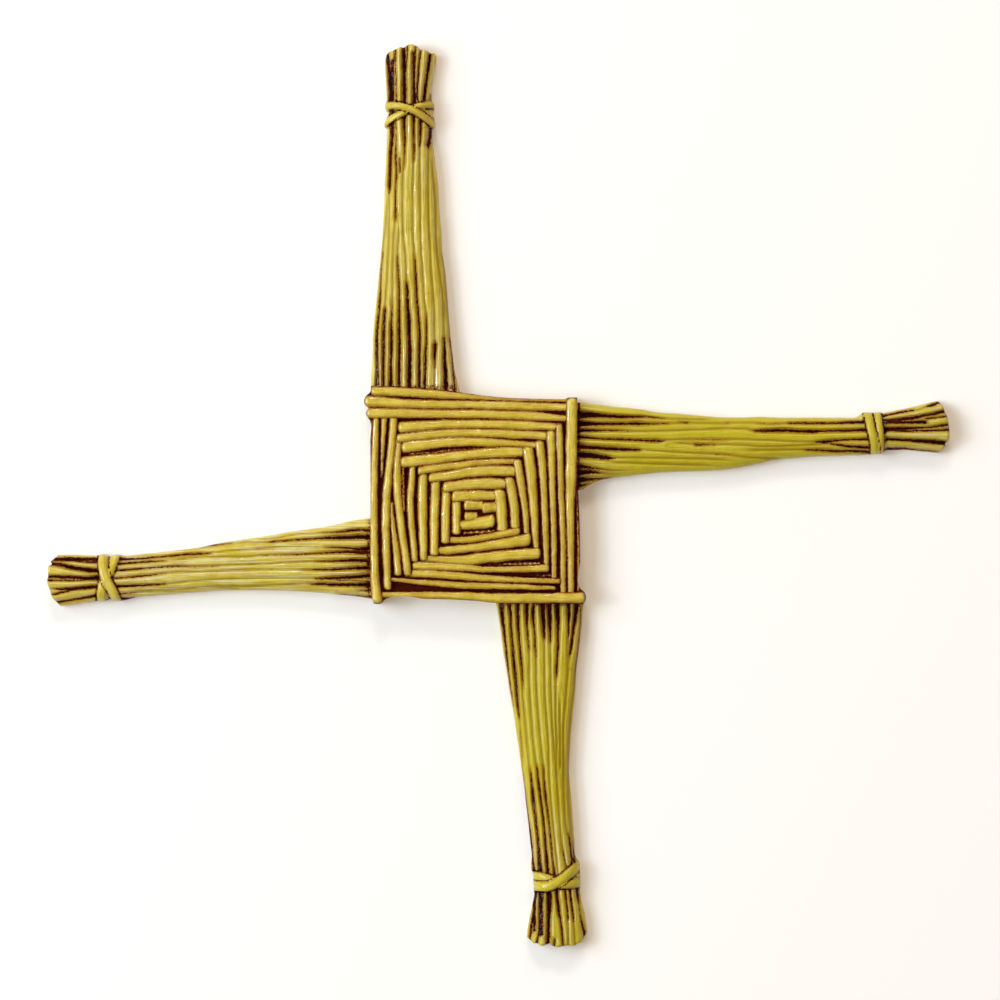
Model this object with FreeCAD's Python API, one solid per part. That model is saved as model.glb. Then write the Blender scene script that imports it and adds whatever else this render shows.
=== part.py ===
"""A St Brigid's cross for the wall, cast in one piece in the likeness of one woven from rushes.

The casting is a relief with a flat back. Four bundles of rushes leave a woven square, each from
one end of a side, so that the whole turns like a pinwheel. Each bundle narrows from the square to
a tie and splays again beyond it. The square is laid up in turns: every strand starts in a rounded
fold over the strand before it, crosses a quarter of the square and dives under the next.

The cross is modelled lying on its back, with X to the right, Y up the wall and Z out of it, and is
stood up at the end. The origin is the middle of the square, on the flat back. All sizes are in
millimetres.
"""

import FreeCAD
import Part

import math
import os

V = FreeCAD.Vector

# The woven square
REED_RISE = 1.3          # crown of a strand above the floor of the grooves
REED_FLANK = 0.28        # added on each side to the widths listed below, which are of its crown
REED_ARCH = 0.75         # rise of its rounded top, as a share of half its width
REED_FLATS = 5           # flats along that round, few so that the mesh stays light
FOLD_LIFT = 0.35         # a strand's fold stands this much higher than its middle
TAIL_DROP = 0.3          # and its tail dives by this much
FOLD_CURL = 0.35         # the very end of a fold bends down by this share of its half width
CORE_EAVE = 5.9          # floor of the grooves at the rim of the square, above the back
CORE_PEAK = 7.0          # the same at the heart of the weave
SIDE_DROP = 1.9          # strands on the side of the square lie this much lower
HEART = (0.2, -3.0)      # heart of the weave
CORE_CORNERS = [(-27.2, 27.2), (25.0, 25.4), (25.8, -25.4), (-27.0, -24.6)]

# The bundles
BUNDLE_EDGE = 1.0        # straight edge of a bundle above the back
BASE_CROWN = 5.4         # crown of a bundle where it leaves the square
BASE_FLATNESS = 4.0      # exponent of its outline there: high is flat-topped
TIED_FLATNESS = 2.0      # from the tie outwards it is half round
GROOVE_SHARE = 0.32      # depth of the groove beside a rush, as a share of the rush's width
MIDDLE_SHARE = 0.22      # the same half way along, where the rushes lie close
RUSH_FLATS = 4           # flats along the round of one rush, few so that the mesh stays light
TIP_ROUND = 9.0          # plan radius of the fan that the rushes are trimmed to
TIP_RUN = 4.5            # trimmed stretch at the end
ROOT_RUN = 1.0           # stretch beside the square where the bundle doesn't narrow yet
TIE_RUN = 9.0            # stretch under the tie, of one width

# The ties
CORD_STAND = 0.6         # how far it stands out of the bundle
CORD_BEVEL = 0.5         # slope along each of its edges
CORD_FLATS = 22          # flats round a whole hoop
CORD_CROSSING = 0.35     # the upper of two turns that cross lies this much further out

# The nail hole in the back
NAIL_HOLE_RADIUS = 2.5
NAIL_HOLE_DEPTH = 4.0
NAIL_HOLE_X = -0.1       # plumb over the centre of mass, so that the cross hangs as modelled
NAIL_HOLE_Y = 17.0

UNDERCAST = 3.0          # everything is built this far below the back, then cut off flat


# A strand of the weave is (x and y of its fold, x and y of its tail, bow to the left of its run,
# width at the fold, width at the tail). Each side is listed from the rim to the heart.
TOP_STRANDS = [
    (-27.4, 27.5, 22.6, 25.6, -0.3, 2.5, 0.8),
    (-28.8, 24.7, 22.7, 23.7, 0.2, 2.6, 2.0),
    (-28.3, 21.9, 21.8, 20.7, 0.0, 2.5, 1.9),
    (-20.6, 18.3, 20.2, 18.6, 0.8, 2.4, 1.8),
    (-20.8, 15.5, 18.0, 16.3, 1.0, 2.2, 2.1),
    (-19.6, 13.0, 14.9, 14.2, 1.0, 2.9, 2.2),
    (-19.8, 9.8, 12.0, 12.1, 0.7, 2.7, 2.4),
    (-15.5, 7.1, 9.6, 9.6, 0.2, 2.1, 1.5),
    (-12.7, 5.3, 9.2, 7.3, 0.3, 2.2, 2.5),
    (-9.1, 3.0, 6.9, 4.0, 0.7, 2.3, 2.2),
    (-6.8, 1.0, 4.2, 1.0, 0.2, 2.1, 2.2),
    (-3.8, -1.5, 0.6, -1.5, 0.0, 2.2, 2.2),
]
RIGHT_STRANDS = [
    (23.7, 26.3, 23.8, -23.9, 0.0, 2.9, 2.0),
    (20.6, 19.6, 21.4, -23.9, 0.0, 1.9, 1.8),
    (18.3, 17.8, 19.5, -20.3, 0.0, 2.2, 1.6),
    (15.6, 15.2, 17.3, -17.4, 0.0, 2.1, 1.7),
    (12.8, 13.7, 14.9, -13.0, 0.0, 2.7, 1.8),
    (10.2, 10.4, 12.3, -9.6, 0.0, 2.2, 1.7),
    (7.8, 5.8, 9.4, -7.7, 0.0, 2.3, 2.2),
    (5.2, 2.2, 6.1, -8.4, 0.0, 2.6, 2.5),
    (2.3, -0.4, 2.4, -4.6, 0.0, 2.9, 2.8),
]
BOTTOM_STRANDS = [
    (27.1, -25.0, -25.4, -23.9, 0.0, 2.7, 1.8),
    (19.8, -22.5, -22.6, -20.6, 0.0, 1.8, 1.6),
    (20.9, -20.4, -17.6, -18.5, 0.0, 1.8, 1.8),
    (18.2, -17.4, -15.7, -16.5, 0.2, 2.1, 2.0),
    (16.2, -13.6, -13.6, -14.5, 0.0, 2.8, 2.2),
    (13.7, -10.1, -10.2, -12.3, -0.3, 2.7, 2.3),
    (10.9, -7.6, -7.5, -9.8, -0.2, 1.8, 2.0),
    (4.4, -5.4, -4.6, -6.3, 0.0, 2.8, 2.3),
]
LEFT_STRANDS = [
    (-25.7, -27.1, -26.0, 20.8, 0.0, 2.5, 1.9),
    (-24.1, 4.0, -23.7, 20.8, 0.0, 1.0, 1.9),
    (-22.9, -23.6, -21.6, 20.6, 0.9, 1.9, 1.9),
    (-20.2, -19.8, -21.6, -2.5, 0.0, 1.9, 1.1),
    (-17.9, -19.8, -19.7, 15.2, 0.9, 2.0, 1.9),
    (-16.0, -16.2, -16.9, 9.0, 0.3, 1.7, 1.9),
    (-13.8, -16.0, -14.3, 6.9, 0.0, 2.1, 2.3),
    (-11.2, -14.7, -11.2, 5.2, 0.0, 2.3, 2.4),
    (-8.4, -11.7, -8.3, 2.2, 0.0, 2.2, 2.3),
    (-5.5, -9.4, -5.5, 0.4, 0.0, 2.3, 2.3),
    (-2.2, -5.3, -2.2, -2.9, 0.0, 2.4, 2.4),
]
# Strands that show on the sides of the square, lower than the rest.
SIDE_STRANDS = [
    (25.4, -2.0, 25.4, -23.6, 0.0, 1.6, 1.6),
    (24.6, -26.0, -24.0, -25.0, 0.0, 1.6, 1.6),
    (-27.2, -24.4, -27.2, 19.5, 0.0, 1.6, 1.6),
]

# A bundle is written as if it were the top one, from its root, where its middle leaves the square.
# A station is (distance from the root, sideways bend, width); rushes are their relative widths from
# left to right, at the root and beyond the tie, where the thin ones have ended; a cord is (distance
# from the middle of the tie, slant in degrees, width, further out).
BUNDLES = [
    dict(
        root=(-16.4, 27.0), length=89.3, tie_at=71.1,
        stations=[(0.0, 0.3, 22.5), (6.1, -0.2, 21.3), (11.2, -0.4, 20.4), (23.9, -0.5, 18.2),
                  (36.7, -0.5, 15.5), (49.4, -0.6, 13.9), (71.1, -1.1, 11.6), (80.0, -1.2, 12.0),
                  (92.0, -0.4, 13.2)],
        rushes=(0.8, 0.8, 0.9, 1.0, 1.2, 1.2, 0.7, 1.2, 1.3, 1.1, 0.7),
        tip_rushes=(0.9, 0.9, 1.4, 1.6, 0.7, 1.3, 1.1),
        cords=[(0.0, 21.0, 1.9, 0.0), (0.0, -21.0, 1.9, CORD_CROSSING)],
    ),
    dict(
        root=(-13.9, 26.0), length=94.2, tie_at=74.6,
        stations=[(0.0, 0.0, 22.5), (2.5, -0.4, 20.9), (5.1, -0.75, 19.3), (15.3, -0.95, 16.7),
                  (25.4, -0.75, 14.8), (38.0, -0.6, 13.2), (47.0, -1.45, 11.6), (56.0, -2.0, 10.2),
                  (74.6, -3.15, 9.9), (86.0, -4.5, 11.4), (96.0, -5.0, 14.4)],
        rushes=(1.4, 1.1, 0.9, 0.8, 1.1, 1.0, 1.3, 0.8, 0.9, 1.1),
        tip_rushes=(0.8, 1.2, 1.6, 0.6, 1.5, 1.4),
        cords=[(-0.3, 9.0, 2.2, 0.12), (1.6, 4.0, 2.2, 0.0)],
    ),
    dict(
        root=(-15.4, 25.5), length=88.7, tie_at=70.4,
        stations=[(0.0, -0.3, 22.5), (3.0, -0.45, 21.8), (12.7, -0.65, 19.4), (22.9, -1.0, 16.8),
                  (38.2, -1.55, 13.0), (47.1, -2.2, 11.7), (56.0, -3.1, 11.4), (70.4, -4.6, 11.6),
                  (78.9, -4.9, 13.3), (84.0, -4.85, 15.1), (90.0, -4.8, 16.0)],
        rushes=(0.8, 0.9, 1.3, 1.0, 0.8, 1.2, 0.8, 1.1, 0.9, 1.0, 0.7),
        tip_rushes=(0.8, 1.1, 0.9, 1.4, 1.5, 1.4, 1.4),
        cords=[(1.0, -7.0, 2.4, 0.0), (1.0, 22.0, 2.6, CORD_CROSSING)],
    ),
    dict(
        root=(-14.9, 27.5), length=82.3, tie_at=66.4,
        stations=[(0.0, 0.0, 20.5), (5.1, 0.0, 19.1), (10.2, -0.35, 17.4), (20.4, -0.75, 15.1),
                  (33.1, -1.7, 12.85), (43.3, -2.8, 11.4), (56.0, -4.1, 10.9), (66.4, -5.0, 11.2),
                  (75.1, -5.4, 12.5), (84.0, -5.9, 13.7)],
        rushes=(0.9, 0.8, 0.9, 1.0, 0.9, 1.0, 0.6, 1.4, 0.9, 1.2),
        tip_rushes=(0.8, 1.5, 1.5, 1.3, 1.1, 1.0),
        cords=[(0.2, -15.0, 2.3, 0.0), (0.2, 15.0, 2.3, CORD_CROSSING)],
    ),
]


def quarter_turns(shape, turns):
    """The shape turned clockwise, as seen from the front, by that many quarter turns."""
    shape.rotate(V(0, 0, 0), V(0, 0, 1), -90.0 * turns)
    return shape


def polygon_face(points):
    return Part.Face(Part.makePolygon(points + points[:1]))


def solid_from(faces):
    solid = Part.Solid(Part.Shell(faces))
    if solid.Volume < 0:
        solid.reverse()
    return solid


def floor_height(x, y):
    """Height of the floor of the grooves at this place: a low roof with its peak at the heart."""
    out = max(abs(x - HEART[0]), abs(y - HEART[1]))
    rim = CORE_CORNERS[0][1] - HEART[1]
    return CORE_PEAK + (CORE_EAVE - CORE_PEAK) * min(out / rim, 1.0)


def core():
    """The body of the square: upright sides and a low four-sided roof that peaks at the heart."""
    eaves = [V(x, y, CORE_EAVE) for x, y in CORE_CORNERS]
    feet = [V(x, y, -UNDERCAST) for x, y in CORE_CORNERS]
    peak = V(HEART[0], HEART[1], CORE_PEAK)
    faces = [polygon_face(feet)]
    for i in range(len(eaves)):
        j = (i + 1) % len(eaves)
        faces.append(polygon_face([feet[i], feet[j], eaves[j], eaves[i]]))
        faces.append(polygon_face([eaves[i], eaves[j], peak]))
    return solid_from(faces)


def strand_section(along, across, crown, half):
    """The outline of a strand: upright sides and an arched top of a few flats."""
    shoulder = crown - REED_ARCH * half
    points = [V(along, across - half, -UNDERCAST)]
    for i in range(REED_FLATS + 1):
        angle = math.pi * (1 - i / REED_FLATS)
        points.append(V(along, across + half * math.cos(angle), shoulder + REED_ARCH * half * math.sin(angle)))
    points.append(V(along, across + half, -UNDERCAST))
    return points


def strand(x_fold, y_fold, x_tail, y_tail, bow, wide_fold, wide_tail, drop=0.0):
    """One strand of the weave, from the round of its fold to the tail that dives under the next."""
    fold = V(x_fold, y_fold, 0)
    run = V(x_tail, y_tail, 0) - fold
    middle = fold + run / 2
    crown = floor_height(middle.x, middle.y) + REED_RISE - drop

    # Stations are (share of the run, share of the full section).
    round_end = (wide_fold / 2 + REED_FLANK) / run.Length
    stations = [(0.0, 0.4), (0.3 * round_end, 0.8), (round_end, 1.0)]
    if bow:
        stations += [(0.3, 1.0), (0.6, 1.0)]
    stations.append((1.0, 1.0))

    sections = []
    for share, size in stations:
        half = blend(wide_fold, wide_tail, share) / 2 + REED_FLANK
        lift = blend(FOLD_LIFT, -TAIL_DROP, share)
        curl = (1 - size) * half * (REED_ARCH + FOLD_CURL)
        across = 4 * bow * share * (1 - share)
        sections.append(strand_section(share * run.Length, across, crown + lift - curl, half * size))

    faces = [polygon_face(sections[0]), polygon_face(sections[-1])]
    for near, far in zip(sections, sections[1:]):
        for i in range(len(near)):
            j = (i + 1) % len(near)
            faces.append(polygon_face([near[i], near[j], far[j], far[i]]))
    rib = solid_from(faces)
    rib.rotate(V(0, 0, 0), V(0, 0, 1), math.degrees(math.atan2(run.y, run.x)))
    rib.translate(fold)
    return rib


def weave():
    """The core of the square and all its strands."""
    ribs = [strand(*row) for row in TOP_STRANDS + RIGHT_STRANDS + BOTTOM_STRANDS + LEFT_STRANDS]
    ribs += [strand(*row, drop=SIDE_DROP) for row in SIDE_STRANDS]
    return core().multiFuse(ribs)


def blend(a, b, share):
    return a + (b - a) * share


def between(rows, place):
    """The values of the rows (place, value, ...) at this place, joined by straight lines."""
    for low, high in zip(rows, rows[1:]):
        if place <= high[0]:
            share = max((place - low[0]) / (high[0] - low[0]), 0.0)
            return [blend(a, b, share) for a, b in zip(low[1:], high[1:])]
    return list(rows[-1][1:])


def arch(half, rise, flatness, shares):
    """Points on a flattened half ellipse at these shares of its length, from left to right."""
    steps = 400
    points = []
    for i in range(steps + 1):
        angle = math.pi * (1 - i / steps)
        across = math.copysign(abs(math.cos(angle)) ** (2 / flatness), math.cos(angle))
        points.append(V(half * across, 0, rise * math.sin(angle) ** (2 / flatness)))
    walked = [0.0]
    for a, b in zip(points, points[1:]):
        walked.append(walked[-1] + a.distanceToPoint(b))
    found = []
    for share in shares:
        goal = share * walked[-1]
        i = min(sum(1 for length in walked if length < goal), steps)
        found.append(points[i])
    return found


def section_feet(bundle, place, rushes):
    """Feet of the rushes across a bundle at this distance from its root, and their groove share."""
    bend, width = between(bundle["stations"], place)
    tied_width = between(bundle["stations"], bundle["tie_at"])[1]
    crown, groove_share, flatness = between([
        (0.0, BASE_CROWN, GROOVE_SHARE, BASE_FLATNESS),
        (bundle["tie_at"] / 2, blend(BASE_CROWN, tied_width / 2, 0.5), MIDDLE_SHARE, BASE_FLATNESS),
        (bundle["tie_at"], tied_width / 2, GROOVE_SHARE, TIED_FLATNESS),
    ], place)
    shares = [sum(rushes[:i]) / sum(rushes) for i in range(len(rushes) + 1)]
    inset = groove_share * width / len(rushes)
    feet = arch(width / 2 - inset, crown - inset - BUNDLE_EDGE, flatness, shares)
    return [foot + V(bend, 0, BUNDLE_EDGE) for foot in feet], groove_share


def rush_top(left, right, depth):
    """Points along the round top of one rush, from its left foot up to its right one."""
    chord = right - left
    along = V(chord).normalize()
    outward = V(-along.z, 0, along.x)
    radius = (chord.Length ** 2 / 4 + depth ** 2) / (2 * depth)
    centre = (left + right) / 2 - outward * (radius - depth)
    sweep = math.asin(chord.Length / 2 / radius)
    points = []
    for i in range(RUSH_FLATS):
        angle = sweep * (2 * i / RUSH_FLATS - 1)
        points.append(centre + outward * radius * math.cos(angle) + along * radius * math.sin(angle))
    return points


def section(bundle, place, rushes, at=None):
    """The closed outline across a bundle, rush by rush, drawn at `at` along it."""
    feet, groove_share = section_feet(bundle, place, rushes)
    points = []
    for left, right in zip(feet, feet[1:]):
        points += rush_top(left, right, left.distanceToPoint(right) * groove_share)
    points.append(feet[-1])
    points.append(V(feet[-1].x, 0, -UNDERCAST))
    points.append(V(feet[0].x, 0, -UNDERCAST))
    wire = Part.makePolygon(points + points[:1])
    wire.translate(V(0, place if at is None else at, 0))
    return wire


def straight_run(bundle, place, rushes, start, end):
    """A stretch of a bundle with the same section from start to end."""
    return Part.Face(section(bundle, place, rushes, start)).extrude(V(0, end - start, 0))


def tip(bundle):
    """The last stretch of a bundle, its rushes trimmed to a fan."""
    start = bundle["length"] - TIP_RUN
    feet = section_feet(bundle, start, bundle["tip_rushes"])[0]
    middle = (feet[0].x + feet[-1].x) / 2
    fan = []
    for foot in feet:
        away = foot.x - middle
        fall = TIP_ROUND - math.sqrt(TIP_ROUND ** 2 - away ** 2)
        if not fan or foot.x - fan[-1].x > 0.1:
            fan.append(V(foot.x, bundle["length"] - fall, 0))
    wide = bundle["stations"][0][1] + bundle["stations"][0][2]
    plan = [V(middle - wide, start - 1, 0), V(middle - wide, fan[0].y - 1, 0), V(fan[0].x - 1, fan[0].y - 1, 0)]
    plan += fan
    plan += [V(fan[-1].x + 1, fan[-1].y - 1, 0), V(middle + wide, fan[-1].y - 1, 0), V(middle + wide, start - 1, 0)]
    room = polygon_face(plan).extrude(V(0, 0, 4 * wide))
    room.translate(V(0, 0, -2 * wide))
    return straight_run(bundle, start, bundle["tip_rushes"], start, bundle["length"] + 1).common(room)


def hoop(radius, place):
    """The outline of a tie's hoop round a bundle, in the same few flats as the rushes."""
    points = []
    for i in range(CORD_FLATS):
        angle = 2 * math.pi * i / CORD_FLATS
        points.append(V(radius * math.cos(angle), place, radius * math.sin(angle)))
    return Part.makePolygon(points + points[:1])


def cord(bundle, shift, slant, wide, further):
    """One turn of the rush that ties a bundle: a flattened hoop round its half-round section."""
    bend, width = between(bundle["stations"], bundle["tie_at"])
    out = width / 2 + CORD_STAND + further
    half = wide / 2
    flat = half - CORD_BEVEL
    turn = Part.makeLoft([
        hoop(out - CORD_BEVEL, -half), hoop(out, -flat), hoop(out, flat), hoop(out - CORD_BEVEL, half),
    ], True, True)
    turn.rotate(V(0, 0, 0), V(0, 0, 1), slant)
    turn.translate(V(bend, bundle["tie_at"] + shift, 0))
    return turn


def bundle_solid(bundle):
    """One bundle with its ties, in its place beside the square, as if it were the top one."""
    tie_at = bundle["tie_at"]
    below = tie_at - TIE_RUN / 2
    above = tie_at + TIE_RUN / 2
    tip_start = bundle["length"] - TIP_RUN
    rushes, tip_rushes = bundle["rushes"], bundle["tip_rushes"]
    places = [row[0] for row in bundle["stations"]]
    rise = [section(bundle, 0.0, rushes, ROOT_RUN)]
    rise += [section(bundle, place, rushes) for place in places if ROOT_RUN < place < below]
    rise += [section(bundle, tie_at, rushes, below)]
    splay = [section(bundle, tie_at, tip_rushes, above)]
    splay += [section(bundle, place, tip_rushes) for place in places if above < place < tip_start]
    splay += [section(bundle, tip_start, tip_rushes)]
    pieces = [
        Part.makeLoft(rise, True, True),
        straight_run(bundle, tie_at, rushes, below, tie_at),
        straight_run(bundle, tie_at, tip_rushes, tie_at, above),
        Part.makeLoft(splay, True, True),
        tip(bundle),
    ]
    pieces += [cord(bundle, *row) for row in bundle["cords"]]
    body = straight_run(bundle, 0.0, rushes, -ROOT_RUN * 4, ROOT_RUN).multiFuse(pieces)
    body.translate(V(bundle["root"][0], bundle["root"][1], 0))
    return body


def nail_hole():
    """The blind hole in the back that the cross hangs by."""
    hole = Part.makeCylinder(NAIL_HOLE_RADIUS, NAIL_HOLE_DEPTH, V(0, 0, 0), V(0, 0, 1))
    hole.translate(V(NAIL_HOLE_X, NAIL_HOLE_Y, 0))
    return hole


def cross():
    """The whole casting, stood up with its front to -Y."""
    bundles = [quarter_turns(bundle_solid(row), turns) for turns, row in enumerate(BUNDLES)]
    whole = weave().multiFuse(bundles)
    reach = 200.0
    below = Part.makeBox(2 * reach, 2 * reach, reach, V(-reach, -reach, -reach))
    whole = whole.cut(below).cut(nail_hole())
    whole.rotate(V(0, 0, 0), V(1, 0, 0), 90)
    return whole


os.makedirs("parts", exist_ok=True)
whole = cross()
solids = whole.Solids
if len(solids) != 1 or not solids[0].isValid():
    raise ValueError("the casting is not one sound solid")
solids[0].exportStep("parts/cross.step")
centre = solids[0].CenterOfMass
print("faces", len(solids[0].Faces), "volume", round(solids[0].Volume), "centre of mass",
      round(centre.x, 2), round(centre.y, 2), round(centre.z, 2))
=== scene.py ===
"""The cast cross as it looks: reeds, ties and weave at their full detail, painted and antiqued.

The casting is one relief with a flat back. Its surface is worked out as a height above the back,
from readings of the photograph: every reed valley of the four bundles and every strand of the weave
is a short row of points. Readings are in pixels of the 1000 by 1000 photograph, with y downwards.
"""

import math

import bpy
import numpy as np
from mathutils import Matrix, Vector
from mathutils.geometry import tessellate_polygon


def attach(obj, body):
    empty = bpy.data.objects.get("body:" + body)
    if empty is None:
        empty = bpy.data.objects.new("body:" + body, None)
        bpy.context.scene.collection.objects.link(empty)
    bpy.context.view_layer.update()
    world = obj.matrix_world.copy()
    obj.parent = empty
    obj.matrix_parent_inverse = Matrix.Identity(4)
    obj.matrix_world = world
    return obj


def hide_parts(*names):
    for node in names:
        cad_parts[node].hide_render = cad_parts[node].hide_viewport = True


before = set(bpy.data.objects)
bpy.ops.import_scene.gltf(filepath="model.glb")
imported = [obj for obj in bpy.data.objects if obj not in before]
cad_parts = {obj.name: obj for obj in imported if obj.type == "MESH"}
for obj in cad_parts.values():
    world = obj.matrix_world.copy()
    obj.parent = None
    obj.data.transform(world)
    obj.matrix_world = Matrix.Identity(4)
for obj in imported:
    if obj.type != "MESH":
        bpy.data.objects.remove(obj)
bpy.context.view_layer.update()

MM = 0.001
PIXEL = 0.2547                    # millimetres of the cross in one pixel of the photograph
ORIGIN_PIXEL = (478.0, 500.0)     # where the origin of the cross lies in the photograph
PHOTO_SIZE = 1000                 # pixels across the photograph

# Bundles, in millimetres above the back
EDGE_RISE = 1.0                   # upright edge along both sides of a bundle
ROOT_CROWN = 5.3                  # crown of a bundle where it leaves the square
MIDDLE_CROWN = 5.1                # half way to its tie, at the tie and at its tip
TIED_CROWN = 5.3
TIP_CROWN = 5.3
TIP_RUN = 45                      # pixels past the tie where the tip has its own crown
FLAT_POWER = 3.6                  # outline of a bundle at its root: high is flat-topped
ROUND_POWER = 2.3                 # and from the tie outwards
UNEVEN = 0.05                     # millimetres that its surface rises and falls at random
REED_REACH = 3.7                  # pixels from a valley to the crown beside it
VALLEY_DEPTH = 0.34               # a valley that paint has filled, and its softness in pixels
VALLEY_SOFT = 1.9
SLOT_DEPTH = 0.38                 # an open one, and how much deeper for each pixel of its width
SLOT_GAIN = 0.22
SLOT_LIMIT = 1.15                 # the deepest that it gets
SLOT_SOFT = 0.35                  # pixels of softness at the bottom of an open one
SLOT_OPENS = (0.2, 1.2)           # widths between which a valley goes from filled to open
NO_SLOT = -3.0                    # where there is no open slot near
NEAR_ROOT = 12                    # a valley that starts this near the root goes on under the square
THROUGH_WIDTH = 2.9               # and one that ends this wide goes on past the tip, by so many pixels
GOES_ON = 60
CUT_FLOOR = 0.6                   # valleys fade out down to this height, over this many millimetres
CUT_FADE = 1.6
CUT_LEAST = 0.15                  # to this share of their depth
END_WASH_RUN = 35                 # pixels before the tie where the wash grows to its width at the end
ROOT_EDGE = 0.5                   # pixels past the root where it comes out of the square, and the
ROOT_WASH = 1.6                   # pixels of wash on both sides of that
TIP_ROUND = 0.55                  # drop at the very tip, and over how many pixels
TIP_ROUND_RUN = 1.6
SUNK = 0.05                       # millimetres that the root of a bundle is short of the back

# Cords of the ties
CORD_POWER = 2.2                  # outline of the bundle under a cord
CORD_STAND = 0.62                 # millimetres that a cord stands above it, and how round it is
CORD_ROUND = 0.95
CORD_WASH = 0.35                  # pixels that the wash comes up a cord's side
SHADE_REACH = 2.2                 # pixels beside a cord where it adds wash, pooled there and painted as shade at its foot, and the wash at its foot
SHADE_WASH = 1.3
SHADE_RUN = 4                     # pixels that it may reach past the tie's own length
CORD_REED = 60                    # the cords' numbers start here, past those of a bundle's reeds

# Paint of a bundle: the places along it where its painted sheen and varnish are stated, in pixels from its
# root, from the start of the tie and from the tie's end, and the share of varnish at each
PAINT_PLACES = ((0, 60), (-60, -10), (0, 20))
BUNDLE_GLOSS = (1.0, 0.42, 0.4, 0.9, 0.9, 0.8)
BUNDLE_BROWN = 0.15               # share of brown in its hollows
WEAVE_SHEEN = 0.1                  # painted sheen on the weave and on the cords: pale streaks that stand in for the lights' reflection

# Rows and columns of a bundle's grid
BODY_ROWS = 78
TIE_ROWS = 20
TIP_ROWS = 20
ARM_COLUMNS = 104
SIDE_CLOSENESS = 0.35             # how much closer its columns are at its sides: 0 is even
UNDER_SQUARE = 8                  # pixels that a bundle goes in under the square
END_PASSES = 6                    # rounds of fitting the tip's rows to its ragged end

# Weave, in millimetres above the back
RIM_LEVEL = 7.0                   # crowns of the strands at the rim of the square
HEART_LEVEL = 8.1                 # and at its heart
HEART_PIXEL = (479.0, 511.0)
HALF_SQUARE = 107.0               # pixels from the heart to the rim
LEVEL_UNEVEN = 0.08               # how far that level rises and falls at random
FOLD_LIFT = 0.38                  # a strand's fold lies higher than its middle, and its tail lower
TAIL_DROP = 0.32
FOLD_DIP = 0.28                   # how far the end of a fold stoops, and over how many pixels
FOLD_RUN = 7.0
FOLD_POWER = 2.4                  # outline of a fold's end: 2 is round, and more is blunter
LUMP_RISE = 0.16                  # height of a lumpy strand's lumps
LENGTH_APART = 40                 # pixels by which the paint of one strand is ahead of the last
STRAND_FULL = 1.10                # a strand's width over that of its bright part as read below
STRAND_SIDE = 0.45                # and what is added on each side, in pixels
STRAND_WASH = 1.0                 # pixels that the wash comes up a strand's side
DEEP_WASH = 1.2                   # and how much more on a deep one
STRAND_WANDER = 0.22              # pixels that it wanders sideways, and the share its width varies by
STRAND_UNEVEN = 0.035
STRAND_END = 0.55                 # length of the round of a fold, as a share of half its width
TAIL_DIVE = 5.0                   # pixels that a tail runs on under the next side's strands,
TAIL_SHARE = 0.1                  # or this share of the strand where that is less
TAIL_ROUND = 1.5                  # pixels of the round at its end
STRAND_ROUND = 0.85               # drop of a strand's side, as a share of half its width
STRAND_DROP_LIMIT = 1.15          # but no more than this
GROOVE_FLOOR = 1.45               # floor between strands, below their crowns
FLOOR_REED = 90                   # number of the floor, and where the strands' numbers start
STRAND_REED = 100
SIDE_REED = 200                   # and those of the reeds on the square's sides
STRAND_GLOSS = 0.85               # varnish on the strands, and how much more there is on their folds
FOLD_GLOSS = 0.5
FOLD_SHINE = (14, 4)              # pixels along a strand between which that comes in
SQUARE_CELLS = (196, 200)         # columns and rows of the square's grid

# The sides of the square are two reeds lying on each other. A level is (height above the back, how
# far in, wash, reed, tilt of the surface), in millimetres.
SIDE_TOP = 6.0                    # height of an edge whose levels are as the table says
SIDE_LEVELS = [
    (5.5, 0.0, -2.0, 0, 0.25), (4.6, 0.0, -2.5, 0, 0.0), (3.9, 0.25, -0.8, 0, -0.5),
    (3.5, 0.6, 1.0, 0, 0.0), (3.1, 0.25, -0.8, 1, 0.5), (2.3, 0.0, -2.5, 1, 0.1),
    (1.4, 0.0, -2.0, 1, -0.15), (0.6, 0.2, -0.8, 1, -0.4),
]

NAIL_HOLE = (-0.1, 17.0, 2.5, 4.0)    # x, z, radius and depth in millimetres, in the back
HOLE_SIDES = 48                   # flats round it
NORMAL_STEP = 0.3                 # pixels to each side where the heights for a normal are taken

PAINT_CROWN = (0.70, 0.560, 0.086, 1)
PAINT_OLIVE = (0.52, 0.395, 0.022, 1)
# greener and darker paint on the right and bottom bundles: a greener tone, with painted shade where they lie
# farther from the lights
PAINT_GREEN_AND_SHADE = (0.48, 0.425, 0.011, 1)
# darker paint for the hollows and the sides of strands and cords: painted shade, with paint pooled in the
# valleys
VALLEY_PAINT_AND_SHADE = (0.34, 0.24, 0.003, 1)
PAINT_TAN = (0.47, 0.28, 0.035, 1)
PAINT_BROWN = (0.36, 0.17, 0.012, 1)
# pale streaks along the reeds: painted sheen, standing in for the reflection of the lights
PAINTED_SHEEN = (0.70, 0.70, 0.42, 1)
WASH_RED = (0.21, 0.034, 0.004, 1)
WASH_DARK = (0.010, 0.0004, 0.0001, 1)
WASH_DEEP = (0.056, 0.0044, 0.0004, 1)
WASH_MAROON = (0.070, 0.0030, 0.0020, 1)
RESIN = (0.60, 0.53, 0.40, 1)
RESIN_PALE = (0.68, 0.62, 0.50, 1)
WALL_PAINT = (0.88, 0.875, 0.86, 1)
WALL_LIGHT = (1.0, 0.99, 0.965, 1)
WALL_GLOW = 0.07                  # light that the wall adds to what the camera sees of it
ROOM_LIGHT = (0.45, 0.3465, 0.2385, 1)    # the warm room lights the cross, but is seen as white
ROOM_SEEN = (0.94, 0.93, 0.91, 1)

WALL_GAP = 0.0004                 # metres behind the back
WALL_REACH = 1600.0               # millimetres
WALL_OVERLAP = 0.8                # the opening stays this far inside the outline of the cross
OPENING_SIDE = 40                 # points along a bundle's side, and across its tip
OPENING_TIP = 14

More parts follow.
